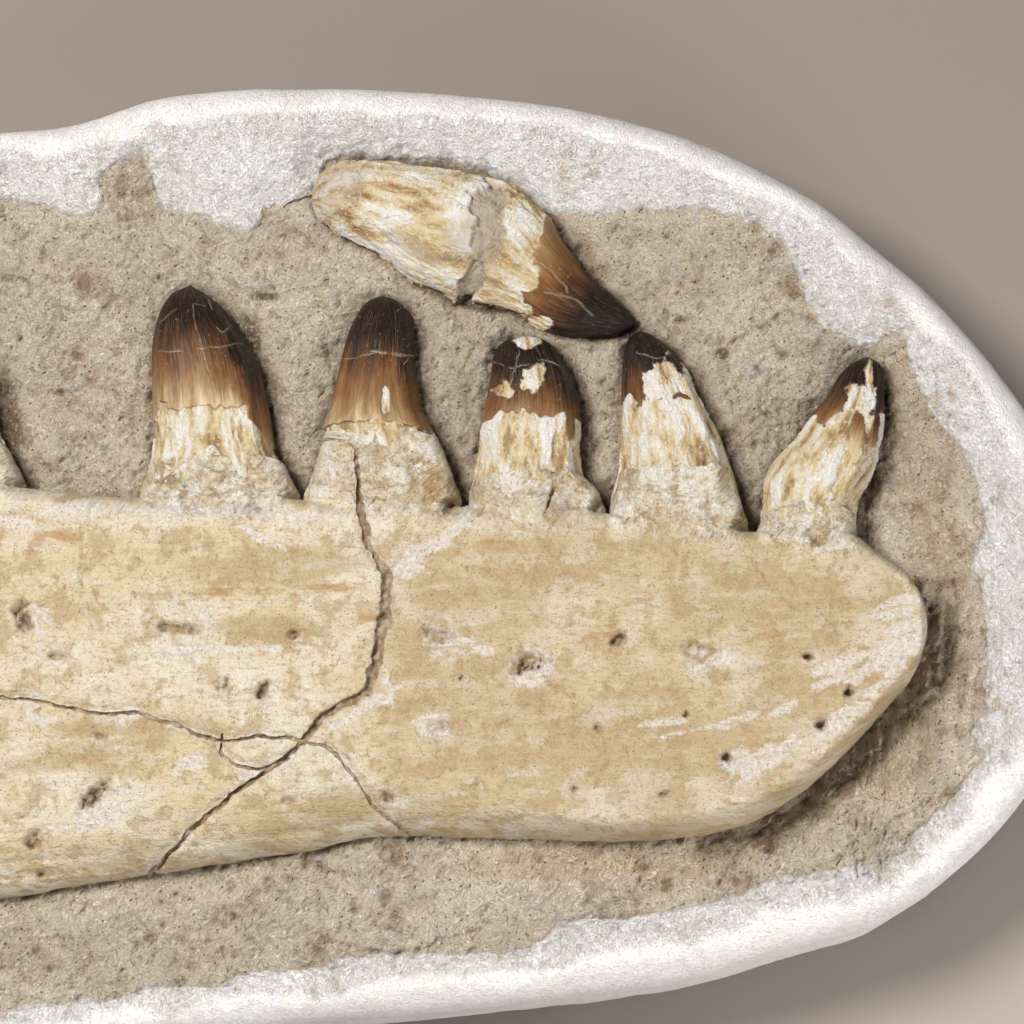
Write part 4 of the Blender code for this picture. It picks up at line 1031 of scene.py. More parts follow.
def make_crown(number, spacing, material, node):
    """One crown: a half-round cone on its side, with faint flats, worn flakes and the cement at its foot."""
    rows = TEETH[number]
    foot, top = rows[0, 0], rows[-1, 0]
    seam, enamel_start = seam_of(number)
    start = foot + seam - CROWN_LAP
    path = spaced(np.vstack([[start, *tooth_edges(rows, start)], rows[rows[:, 0] > start]]), every(spacing))
    end = path[-1] + [0.25, 0, 0]
    end[1:] = (path[-1, 1] + path[-1, 2]) / 2 + np.array([-0.05, 0.05])
    y_row, left, right = np.vstack([path, end]).T
    half = (right - left) / 2
    centre = np.column_stack([(left + right) / 2, y_row])
    side = np.tile([1.0, 0.0], (len(half), 1))
    relief = np.minimum(2 * TOOTH_RELIEF * half, MOST_RELIEF) * (1 - 0.12 * step(start + 5, start, y_row))
    size = int(math.pi / 2 * (rows[0, 2] - rows[0, 1]) * 0.85 / spacing)
    angle, x, y, seen_x, seen_y = half_round(centre, side, half, relief, size)
    enamel, hairline = crown_masks(number, x, y, seen_x, seen_y, foot)
    turn = np.tile(angle, len(half))
    grain = np.column_stack([np.tile(angle * half.max(), len(half)) + 40 * number, y, np.zeros_like(y)])
    # A cutting edge down the side away from the light, and flats beside it
    carina = 0.055 * np.exp(-(((angle - 0.85) / 0.13) ** 2)) - 0.05 * np.exp(-(((angle - 0.42) / 0.28) ** 2))
    flats = 0.012 * np.cos(6 * angle + number)
    lift, flake = tooth_relief(x, y, enamel, grain, number + 20)
    lift = (lift - 0.15 * hairline).reshape(-1, size) * np.clip(half[:, None] / 4, 0, 1)
    lift = lift + (carina + flats) * half[:, None]
    dark = DARK_FROM[number] if number < len(DARK_FROM) else REAR_DARK_FROM
    rise = dark + (1 - dark) * (y - foot - enamel_start) / (top - foot - enamel_start)
    # Painted shade: each crown is darker on its side away from the light, the shaded tooth most
    shaded = step(1.15, 0.8, turn + 0.12 * rough(x, y, 5, 4, number + 9))
    rise = rise + (0.34 if number == SHADED_TOOTH else 0.18) * shaded
    masks = {"enamel": enamel, "hairline": hairline, "rise": rise, "stone": 0 * enamel, "flake": flake,
             "seam": flake_edges(flake), "grain": grain}
    crown = arched_mesh(f"crown_{number + 1}", centre, side, half, relief, lift, masks, material)
    add_piece(crown, "enamel", node)


def make_crowns(material):
    nodes = ["dentary_front"] * 4 + ["dentary_upper"] * 5 + ["dentary_rear"] * 3
    for number, node in enumerate(nodes):
        spacing = CROWN_STEP if number <= len(SEEN_TEETH) else REAR_CROWN_STEP
        make_crown(number, spacing, material, node)


LOOSE_BARE = ovals(
    (2, 62, 4, 8, 20), (-1, 51, 6, 6, 0), (6, 47, 4, 2.2, 15),
)
LOOSE_ROCK = ovals(
    (-5.5, 77, 4.5, 7, 10), (-11, 56, 2.8, 6.5, -25), (-7, 69, 3, 4, 0),
)
LOOSE_TAN = ovals(
    (-9, 67, 7, 8, 0), (-42, 84, 6, 5, 0), (-46, 76, 4, 6, 0), (-25, 66, 7, 2, -30),
)
LOOSE_HAIRLINES = [
    [(-40.5, 88.5), (-41.5, 80), (-43, 68.5)],
    [(-30.5, 85.5), (-21.8, 81.8), (-16.8, 77.3), (-21.8, 71.8)],
    [(-16.5, 88), (-16, 80), (-17, 76)],
    [(2, 66), (10, 60), (14, 55)],
    [(8, 55), (16, 53), (20, 49)],
]
LOOSE_ENAMEL_START = (1.5, 62.0)  # a place on the crown's ragged edge, and the way its tip points
LOOSE_TIP_WAY = (0.8, -0.6)
LOOSE_CROWN_LENGTH = 33.0
LOOSE_RINGS = 300
LOOSE_ACROSS = 170
# The root's rounded end: how far each ring lies behind the axis, and its share of the first width
LOOSE_END = [(1.6, 0.05), (1.3, 0.45), (0.8, 0.72), (0.4, 0.88)]


def loose_profile(count):
    """The loose tooth's axis in plan and its half widths, at count places."""
    curve = in_plan(smooth_curve(LOOSE_AXIS, steps=24), TOOTH_AXIS)
    along = np.linspace(0, len(LOOSE_AXIS) - 1, len(curve))
    wanted = np.linspace(0, len(LOOSE_AXIS) - 1, count)
    axis = np.column_stack([np.interp(wanted, along, column) for column in curve.T])
    widths = smooth_curve(np.column_stack([range(len(LOOSE_HALF_WIDTH)), LOOSE_HALF_WIDTH]), steps=24)
    return axis, np.interp(wanted, widths[:, 0], widths[:, 1])


def make_loose_tooth(material):
    """The loose tooth: striped root, broken neck with rock in it, and a dark curved crown."""
    axis, half = loose_profile(LOOSE_RINGS)
    behind = (axis[0] - axis[1]) / np.linalg.norm(axis[0] - axis[1])
    axis = np.vstack([*(axis[0] + back * behind for back, _ in LOOSE_END), axis])
    half = np.concatenate([np.array([share for _, share in LOOSE_END]) * half[0], half])
    relief = LOOSE_RELIEF * half
    side = sideways(axis)
    angle, x, y, seen_x, seen_y = half_round(axis, side, half, relief, LOOSE_ACROSS)
    ahead = (seen_x - LOOSE_ENAMEL_START[0]) * LOOSE_TIP_WAY[0]
    ahead = ahead + (seen_y - LOOSE_ENAMEL_START[1]) * LOOSE_TIP_WAY[1]
    enamel = step(-0.3, 0.3, ahead + 4.0 * rough(x, y, 9, 5, 95))
    wobble = 0.45 * rough(x, y, 3.2, 4, 96)
    enamel = enamel * (1 - patches(LOOSE_BARE, seen_x, seen_y, wobble, 0.05))
    stone = patches(LOOSE_ROCK, seen_x, seen_y, wobble, 0.1)
    tan = patches(LOOSE_TAN, seen_x, seen_y, wobble, 0.3)
    hairline = line_marks(LOOSE_HAIRLINES, seen_x, seen_y, 0.25, 0.4, 93)
    along = np.repeat(np.arange(len(axis)) * 0.35, LOOSE_ACROSS)
    grain = np.column_stack([np.tile(angle * 14, len(axis)), along, np.zeros_like(x)])
    lift, flake = tooth_relief(x, y, enamel, grain, 60)
    lift = lift - 1.5 * stone - 0.35 * hairline
    lift = lift.reshape(len(axis), LOOSE_ACROSS) * np.clip(half[:, None] / 4, 0, 1)
    rise = 0.12 + 0.95 * ahead / LOOSE_CROWN_LENGTH
    masks = {"enamel": enamel, "hairline": 0.6 * hairline * enamel, "rise": rise, "flake": flake,
             "seam": flake_edges(flake), "stone": np.maximum(stone, 0.5 * tan), "grain": grain}
    tooth = arched_mesh("loose_tooth_whole", axis, side, half, relief, lift, masks, material)
    add_piece(tooth, "enamel", "loose_tooth")


def stairs(share, count):
    """Rises from 0 to 1 in a number of ledges with steep fronts."""
    level = np.clip(share, 0, 0.9999) * count
    whole = np.floor(level)
    return (whole + step(0.72, 1.0, level - whole) + 0.12 * (level - whole)) / (count + 0.12)


def tooth_loops():
    """Closed outlines of all the teeth in plan."""
    loops = []
    for rows in TEETH:
        loops.append(np.vstack([rows[:, [1, 0]], rows[::-1][:, [2, 0]]]))
    axis, half = loose_profile(60)
    side = sideways(axis) * half[:, None]
    loops.append(np.vstack([axis + side, (axis - side)[::-1], axis[:1] + side[:1]]))
    return loops


TOOTH_LOOPS = tooth_loops()


def rock_surface(x, y):
    """Height of the rock, and the masks that its material uses."""
    rim = distance_to(PLASTER_LOOP, x, y, 26)
    bone = distance_to(BONE_LINE, x, y, 24)
    teeth = np.full(len(x), 8.0)
    beside = np.full(len(x), 8.0)
    for loop in TOOTH_LOOPS:
        teeth = np.minimum(teeth, distance_to(loop, x, y, 8))
        moved = loop + SHADE_SHIFT
        beside = np.minimum(beside, np.where(inside(moved, x, y), 0, distance_to(moved, x, y, 8)))
    # 1 on each tooth's side away from the light, where the rock sinks and gets painted shadow
    beside = np.exp(-np.clip(beside + 0.8 * rough(x, y, 3, 4, 122), 0, 8) / 1.3)
    seen_x, seen_y = as_seen(x, y, ROCK_LEVEL)
    along_jaw = np.clip(np.minimum(y - lower_edge(x) + 14, upper_edge(x) + 10 - y) / 12, 0, 1)
    height = ROCK_LEVEL - 1.6 * along_jaw + 0.8 * (1 - rim / 26)
    height = height + 1.0 * noise(x, y, 37, 11) + 0.6 * noise(x, y, 17, 12)
    pitted = step(-0.35, 0.35, rough(x, y, 21, 3, 100))
    broad = rough(x, y, 10, 5, 101, 0.62)
    height = height + (0.8 + 0.7 * pitted) * broad
    fine = rough(x, y, 3.2, 4, 102, 0.72)
    height = height + (0.4 + 0.5 * pitted) * fine
    height = height + 1.5 * (flakes(x, y, 19, 105) - 0.5) + 0.8 * (flakes(x, y, 6, 106) - 0.5) * pitted
    height = height + 1.1 * scattered(x, y, 5.5, 103, 0.06, 0.22) * step(-0.1, 0.4, noise(x, y, 9, 104))
    height = height + 0.6 * scattered(x, y, 2.9, 108, 0.1, 0.3) * step(0.1, 0.5, noise(x, y, 7, 109))
    height = height - 1.3 * scattered(x, y, 6.5, 107, 0.06, 0.22)

    right_side = step(84, 93, x) * step(38, 18, y)
    low_side = step(25, 75, x) * step(-8, -20, y)
    hollow = np.maximum(right_side, low_side)
    warped = bone + 3.0 * rough(x, y, 15, 3, 110) + 0.9 * rough(x, y, 4, 3, 111)
    height = height - HOLLOW_DEPTH * hollow * (1 - stairs(warped / HOLLOW_REACH, HOLLOW_LEDGES))
    layers = rough((0.35 * x + 0.9 * y) * (1 - right_side) + (y - 0.2 * x) / 4 * right_side,
                   (x - 0.4 * y) / 5 * (1 - right_side) + x * right_side, 3.2, 4, 112)
    below = step(0, -8, y - lower_edge(x)) * step(-60, -20, x)
    height = height + (0.5 * below + 0.95 * hollow) * layers

    cracks = line_marks(ROCK_CRACKS, seen_x, seen_y, 0.45, 0.8, 113)
    height = height - 1.1 * cracks
    height = height - 1.2 * np.exp(-teeth / 1.6) - 1.3 * beside - 0.8 * np.exp(-bone / 1.2)
    # Dark brown marks, partly stains and partly painted shade: the listed patches, painted shade where the
    # rock meets the teeth and the bone and in its cracks, and painted shadow beside each tooth on its side
    # away from the light
    stain_and_shade = patches(ROCK_STAINS_AND_SHADOWS, seen_x, seen_y, 0.5 * rough(x, y, 4, 4, 114), 0.55)
    stain_and_shade = np.maximum(stain_and_shade, 0.35 * np.exp(-teeth / 1.4) + 0.62 * beside)
    stain_and_shade = np.maximum(stain_and_shade, 0.3 * np.exp(-bone / 1.5))
    stain_and_shade = np.maximum(stain_and_shade, 0.5 * cracks)
    height = height - 0.7 * stain_and_shade * np.abs(rough(x, y, 1.6, 3, 118))
    chalk = step(0.55, 0.65, rough(x, y, 5, 5, 115, 0.65)) * 0.5
    splash = step(6, 0, rim + 5 * rough(x, y, 9, 3, 117)) * step(0.32, 0.4, rough(x, y, 3.2, 4, 116, 0.7))
    browned_and_shaded = patches(BROWNED_AND_SHADED_GROUND, seen_x, seen_y, 0.35 * rough(x, y, 9, 5, 119), 0.18)
    chips = patches(ROCK_CHIPS, seen_x, seen_y, 0.5 * rough(x, y, 2, 3, 99), 0.12)
    chalk = np.maximum(np.maximum(chalk * (1 - browned_and_shaded), splash), chips)
    # Low in the hollows of the rock's lumps, where the material darkens the colour as painted shade
    relief = np.clip(0.5 + 0.32 * fine + 0.24 * broad + 0.12 * layers, 0, 1)
    masks = {"stain_and_shade": stain_and_shade, "chalk": chalk, "pitted": pitted, "browned_and_shaded": browned_and_shaded, "relief": relief}
    return height + 0.35 * splash + 1.1 * chips, masks


def make_rock(material):
    """The rock that the bone lies in, as two fine sheets whose edge is hidden under the plaster."""
    x_low, x_high, y_low, y_high = ROCK_REACH
    columns = []
    x = float(x_high)
    while x > x_low:
        columns.append(x)
        x -= ROCK_FINE + (ROCK_COARSE - ROCK_FINE) * float(to_rear(x))
    columns = np.array(columns[::-1])
    sheets = (("rock_bed_front", columns >= FRONT_START, ROCK_FINE),
              ("rock_bed_rear", columns <= FRONT_START + ROCK_FINE, ROCK_COARSE))
    for name, keep, gap in sheets:
        rows = np.arange(y_low, y_high, gap)
        x, y = np.meshgrid(columns[keep], rows)
        x = x + 0.14 * noise(x, y, 1.0, 120)
        y = y + 0.14 * noise(x, y, 1.0, 121)
        flat_x, flat_y = x.ravel(), y.ravel()
        shown = inside(PLASTER_LINE, flat_x, flat_y) | (distance_to(PLASTER_LOOP, flat_x, flat_y, 7) < 6)
        depth = distance_to(BONE_LINE, flat_x, flat_y, 2.5)
        shown &= ~(inside(BONE_LINE, flat_x, flat_y) & (depth > 2))
        quads = grid_quads(len(rows), x.shape[1])
        used, faces, _ = renumbered(quads[shown[quads].all(axis=1)], len(flat_x))
        height, masks = rock_surface(flat_x[used], flat_y[used])
        points = np.column_stack([flat_x[used], flat_y[used], height])
        add_piece(add_mesh(name, points, faces.tolist(), material, masks), "rock", "rock_matrix")


def jacket_step(x):
    """How far apart the jacket's points lie at x."""
    return JACKET_FINE + (JACKET_COARSE - JACKET_FINE) * step(FRONT_START, FRONT_START - 40, x)


def make_jacket(material):
    """The plaster jacket: flat foot, rounded sides, and a rim whose ragged inner edge laps the rock."""
    outline = spaced(JACKET_EDGE, jacket_step, closed=True)
    ring, width = outline[:, :2], outline[:, 2]
    normal = outward(ring)
    ring = ring - EDGE_INSET * normal
    turns = np.linspace(0, math.pi / 2, FOOT_RINGS)
    foot = [(FOOT_ROUND * (1 - math.sin(a)), FOOT_ROUND * (1 - math.cos(a))) for a in turns]
    side = [(0.0, z) for z in np.linspace(FOOT_ROUND, RIM_CREST - RIM_ROUND, SIDE_RINGS)[1:-1]]
    top = [(RIM_ROUND * (1 - math.cos(a)), RIM_CREST - RIM_ROUND * (1 - math.sin(a)))
           for a in np.linspace(0, math.pi / 2, ROUND_RINGS)]
    rim = [(RIM_ROUND + share * (width + PLASTER_LAP - RIM_ROUND), RIM_CREST)
           for share in np.linspace(0, 1, RIM_RINGS + 1)[1:]]
    rings = [(np.broadcast_to(inset, len(ring)), level) for inset, level in [*foot, *side, *top, *rim]]
    inset = np.concatenate([ring_inset for ring_inset, _ in rings])
    z = np.repeat([level for _, level in rings], len(ring))
    x, y = (np.tile(ring, (len(rings), 1)) - inset[:, None] * np.tile(normal, (len(rings), 1))).T
    width = np.tile(width, len(rings))
    on_rim = np.arange(len(x)) >= (len(foot) + len(side)) * len(ring)
    reach = distance_to(PLASTER_LOOP, x, y, 30)
    to_rock = np.where(inside(PLASTER_LINE, x, y), -reach, reach)
    fibrous = step(6, 10, inset + 3 * rough(x, y, 12, 3, 130)) * on_rim
    hairs = rough(x + 2 * rough(x, y, 4, 2, 140), y + 2 * rough(x, y, 4, 2, 141), 1.5, 3, 134)
    swell = 0.5 * rough(x, y, 22, 3, 131) + 0.2 * rough(x, y, 5, 3, 132) + 0.10 * hairs
    matted = 0.6 * rough(x, y, 6, 5, 133) + 0.4 * hairs + 0.5 * (flakes(x, y, 9, 139) - 0.5)
    swell = swell + fibrous * matted
    swell = swell - 0.7 * fibrous * scattered(x, y, 5, 135, 0.05, 0.2)
    some = np.flatnonzero(to_rock < 12)
    rock, _ = rock_surface(x[some], y[some])
    inward = np.clip((inset - RIM_ROUND) / np.maximum(width - RIM_ROUND, 1), 0, 1)
    z = np.where(inset > RIM_ROUND, RIM_CREST - 1.6 * inward**2, z)
    crest = z[some] + swell[some]
    distance = to_rock[some] + 1.6 * rough(x[some], y[some], 8, 5, 136, fade=0.68)
    thick = np.where(distance > 0, 0.5 + 0.9 * (1 - np.exp(-distance / 1.2)), 2.5 * distance)
    thick = thick + 0.3 * hairs[some]
    lapping = step(11, 2, distance)
    z = z + swell * np.where(on_rim, 1, 0.8)
    z[some] = crest * (1 - lapping) + (rock + thick) * lapping
    seen_x, seen_y = as_seen(x, y, RIM_CREST)
    cracks = line_marks(PLASTER_CRACKS, seen_x, seen_y, 0.32, 0.7, 142) * on_rim
    z = z - 0.9 * cracks
    down = z * 3 + y
    sway = (0.5 * rough(x, down, 20, 3, 137) + 0.1 * rough(x, down, 3, 3, 143) - 0.7) * (~on_rim)
    sway = sway * np.clip((z - 0.5) / 6, 0, 1)
    x = x + np.tile(normal[:, 0], len(rings)) * sway
    y = y + np.tile(normal[:, 1], len(rings)) * sway
    z = np.where(np.arange(len(x)) < len(ring), 0, np.clip(z, 0, TALLEST))
    corner = np.arange((len(rings) - 1) * len(ring))
    following = np.where((corner + 1) % len(ring) == 0, corner + 1 - len(ring), corner + 1)
    quads = np.column_stack([corner, following, following + len(ring), corner + len(ring)]).tolist()
    edge = np.zeros(len(x))
    edge[some] = step(2.2, 0.0, np.abs(distance))
    # Tan stains on the rim; painted shade along the plaster's cracks is added to them below
    stain_and_shade = step(0.1, 0.8, rough(x, y, 15, 4, 138)) * fibrous
    # The last mask is painted shade in the low spots of the rim's fibrous relief
    masks = {"fibrous": fibrous, "stain_and_shade": np.maximum(stain_and_shade, 0.7 * cracks), "edge": edge,
             "painted_crevice_shade": step(-0.35, -0.8, hairs) * fibrous}
    points = np.column_stack([x, y, z])
    faces = [*quads, list(range(len(ring)))[::-1]]
    add_piece(add_mesh("jacket_plaster", points, faces, material, masks), "plaster", "plaster_jacket")


class Surface:
    """A Principled material whose inputs are built up from short node calls. Sizes are in millimetres.

    A flat pattern leans with height, so that steep sides have it too and not only stripes.
    """

    def __init__(self, name, roughness, specular=0.5, pattern="2D"):
        self.pattern = pattern
        self.material = bpy.data.materials.new(name)
        self.material.use_nodes = True
        self.tree = self.material.node_tree
        self.shader = self.tree.nodes["Principled BSDF"]
        self.shader.inputs["Roughness"].default_value = roughness
        self.shader.inputs["Specular IOR Level"].default_value = specular
        self.place = self.leaning(self.tree.nodes.new("ShaderNodeTexCoord").outputs["Object"])
        self.normal = None

    def link(self, value, socket):
        if isinstance(value, bpy.types.NodeSocket):
            self.tree.links.new(value, socket)
        else:
            socket.default_value = value

    def attribute(self, name, vector=False):
        node = self.tree.nodes.new("ShaderNodeAttribute")
        node.attribute_name = name
        return node.outputs["Vector" if vector else "Fac"]

    def leaning(self, vector):
        """The place in millimetres, its x and y pushed along by the height."""
        node = self.tree.nodes.new("ShaderNodeCombineXYZ")
        for axis, direction in enumerate(((1, 0, PATTERN_LEAN[0]), (0, 1, PATTERN_LEAN[1]), (0, 0, 1))):
            along = self.tree.nodes.new("ShaderNodeVectorMath")
            along.operation = "DOT_PRODUCT"
            self.link(vector, along.inputs[0])
            along.inputs[1].default_value = [share / MILLIMETRE for share in direction]
            self.link(along.outputs["Value"], node.inputs[axis])
        return node.outputs["Vector"]

    def stretched(self, vector, x, y, z):
        node = self.tree.nodes.new("ShaderNodeVectorMath")
        node.operation = "MULTIPLY"
        self.link(vector, node.inputs[0])
        node.inputs[1].default_value = (x, y, z)
        return node.outputs[0]

    def noise(self, size, detail=4, roughness=0.55, vector=None, distortion=0.0):
        """Noise from 0 to 1 with lumps about size across."""
        node = self.tree.nodes.new("ShaderNodeTexNoise")
        node.noise_dimensions = self.pattern
        self.link(self.place if vector is None else vector, node.inputs["Vector"])
        node.inputs["Scale"].default_value = 1 / size
        node.inputs["Detail"].default_value = detail
        node.inputs["Roughness"].default_value = roughness
        node.inputs["Distortion"].default_value = distortion
        return node.outputs["Fac"]

    def cells(self, size, feature="F1", vector=None):
        node = self.tree.nodes.new("ShaderNodeTexVoronoi")
        node.voronoi_dimensions = self.pattern
        node.feature = feature
        self.link(self.place if vector is None else vector, node.inputs["Vector"])
        node.inputs["Scale"].default_value = 1 / size
        return node.outputs["Distance"]

    def warped(self, size, reach):
        """The place, pushed about by noise."""
        node = self.tree.nodes.new("ShaderNodeTexNoise")
        node.noise_dimensions = self.pattern
        self.link(self.place, node.inputs["Vector"])
        node.inputs["Scale"].default_value = 1 / size
        node.inputs["Detail"].default_value = 1
        add = self.tree.nodes.new("ShaderNodeVectorMath")
        add.operation = "ADD"
        self.link(self.stretched(node.outputs["Color"], reach, reach, 0), add.inputs[0])
        self.link(self.place, add.inputs[1])
        return add.outputs[0]

    def between(self, value, low, high, to_low=0.0, to_high=1.0):
        node = self.tree.nodes.new("ShaderNodeMapRange")
        node.interpolation_type = "SMOOTHSTEP"
        self.link(value, node.inputs["Value"])
        node.inputs["From Min"].default_value = low
        node.inputs["From Max"].default_value = high
        node.inputs["To Min"].default_value = to_low
        node.inputs["To Max"].default_value = to_high
        return node.outputs["Result"]

    def compute(self, operation, a, b=0.0):
        node = self.tree.nodes.new("ShaderNodeMath")
        node.operation = operation
        self.link(a, node.inputs[0])
        self.link(b, node.inputs[1])
        return node.outputs[0]

    def product(self, *values):
        result = values[0]
        for value in values[1:]:
            result = self.compute("MULTIPLY", result, value)
        return result

    def mix(self, share, a, b, blend="MIX"):
        """Mixes two colours, each a socket or red, green and blue in linear light."""
        node = self.tree.nodes.new("ShaderNodeMix")
        node.data_type = "RGBA"
        node.blend_type = blend
        self.link(share, node.inputs[0])
        for value, socket in ((a, node.inputs[6]), (b, node.inputs[7])):
            self.link((*value, 1) if isinstance(value, tuple) else value, socket)
        return node.outputs[2]

    def ramp(self, value, stops):
        node = self.tree.nodes.new("ShaderNodeValToRGB")
        self.link(value, node.inputs["Fac"])
        elements = node.color_ramp.elements
        while len(elements) < len(stops):
            elements.new(0.5)
        for element, (place, colour) in zip(elements, stops):
            element.position = place
            element.color = (*colour, 1)
        return node.outputs["Color"]

    def bump(self, height, depth):
        """Adds relief that is depth millimetres from 0 to 1."""
        node = self.tree.nodes.new("ShaderNodeBump")
        node.inputs["Strength"].default_value = 1.0
        node.inputs["Distance"].default_value = depth * MILLIMETRE
        self.link(height, node.inputs["Height"])
        if self.normal is not None:
            self.link(self.normal, node.inputs["Normal"])
        self.normal = node.outputs["Normal"]

    def finish(self, colour, roughness=None):
        self.link(colour, self.shader.inputs["Base Color"])
        if roughness is not None:
            self.link(roughness, self.shader.inputs["Roughness"])
        if self.normal is not None:
            self.link(self.normal, self.shader.inputs["Normal"])
        return self.material


def plaster_material():
    s = Surface("plaster", 0.85, 0.3, pattern="3D")
    fibrous = s.attribute("fibrous")
    colour = s.mix(s.between(s.noise(14, 4), 0.3, 0.7), (0.85, 0.835, 0.82), (0.79, 0.757, 0.725))
    # Tan stains, and painted shade along the cracks
    tan = s.product(s.attribute("stain_and_shade"), s.between(s.noise(4, 5, 0.65), 0.42, 0.66), 0.85)
    colour = s.mix(tan, colour, (0.50, 0.41, 0.31))
    strokes = s.noise(1.5, 3, 0.6, distortion=3.0)
    freckles = s.product(s.between(fibrous, 0, 1, 0.35, 1.0), s.between(strokes, 0.57, 0.64), 0.48)
    colour = s.mix(freckles, colour, (0.46, 0.37, 0.27))
    # Painted shade in the low spots of the fibrous relief
    colour = s.mix(s.product(s.attribute("painted_crevice_shade"), 0.38), colour, (0.50, 0.42, 0.33))
    dust = s.product(s.attribute("edge"), s.between(s.noise(2.5, 4, 0.7), 0.45, 0.62), 0.6)
    colour = s.mix(dust, colour, (0.43, 0.36, 0.28))
    pores = s.product(s.between(s.cells(2.4), 0.05, 0.2, 1.0, 0.0), s.between(s.noise(2.5, 3), 0.5, 0.6))
    colour = s.mix(s.product(pores, fibrous, 0.6), colour, (0.27, 0.21, 0.15))
    s.bump(s.product(strokes, s.between(fibrous, 0, 1, 0.45, 1.0)), -1.3)
    s.bump(s.noise(0.6, 2, 0.6), 0.26)
    return s.finish(colour)


def rock_material():
    s = Surface("rock", 0.95, 0.2)
    colour = s.mix(s.between(s.noise(18, 5), 0.35, 0.65), (0.84, 0.72, 0.56), (0.73, 0.615, 0.47))
    colour = s.mix(s.product(s.between(s.noise(3.2, 5, 0.75), 0.5, 0.66), 0.8), colour, (0.80, 0.72, 0.60))
    lumps = s.noise(2.4, 5, 0.72, distortion=1.6)
    # Painted shade: the low parts of the lumps that the bump below raises are darkened brown
    colour = s.mix(s.product(s.between(lumps, 0.46, 0.34), 0.6), colour, (0.30, 0.215, 0.14))
    # Painted shade: the rock's colour is darkened in the hollows of its relief
    shade = s.ramp(s.attribute("relief"), [
        (0.1, (0.52, 0.44, 0.37)), (0.3, (0.82, 0.785, 0.75)), (0.46, (1, 1, 1)), (0.8, (1, 1, 1))
    ])
    colour = s.mix(1.0, colour, shade, "MULTIPLY")
    specks = s.product(s.between(s.cells(2.4), 0.07, 0.15, 1.0, 0.0), s.between(s.noise(4, 2), 0.48, 0.55))
    colour = s.mix(s.product(specks, 0.85), colour, (0.80, 0.75, 0.67))
    dots = s.product(s.between(s.cells(3.1), 0.05, 0.12, 1.0, 0.0), s.between(s.noise(5, 2), 0.46, 0.55))
    colour = s.mix(s.product(dots, 0.85), colour, (0.11, 0.07, 0.045))
    chalk = s.product(s.attribute("chalk"), s.between(s.noise(1.7, 5, 0.7), 0.38, 0.55))
    colour = s.mix(s.product(chalk, 0.8), colour, (0.74, 0.695, 0.64))
    # Stains, painted shade and painted shadow, all in deep brown
    stain_and_shade = s.product(s.attribute("stain_and_shade"), s.between(s.noise(1.3, 4, 0.75), 0.22, 0.52))
    colour = s.mix(s.product(stain_and_shade, 0.88), colour, (0.16, 0.092, 0.047))
    # Browner ground: partly staining, partly painted shade in the low hollow by the front tooth and the jaw's
    # tip
    colour = s.mix(s.product(s.attribute("browned_and_shaded"), 0.5), colour, (0.76, 0.68, 0.59), "MULTIPLY")
    pitted = s.attribute("pitted")
    s.bump(s.product(lumps, s.between(pitted, 0, 1, 0.6, 1.0)), 2.2)
    s.bump(s.noise(1.1, 2, 0.65, distortion=2.2), 1.0)
    return s.finish(colour)


def dust_material():
    s = Surface("crack_dust", 0.95, 0.1)
    colour = s.mix(s.between(s.noise(2.2, 5, 0.7), 0.35, 0.65), (0.50, 0.40, 0.28), (0.29, 0.205, 0.13))
    s.bump(s.noise(0.8, 5, 0.7), 0.7)
    return s.finish(colour)


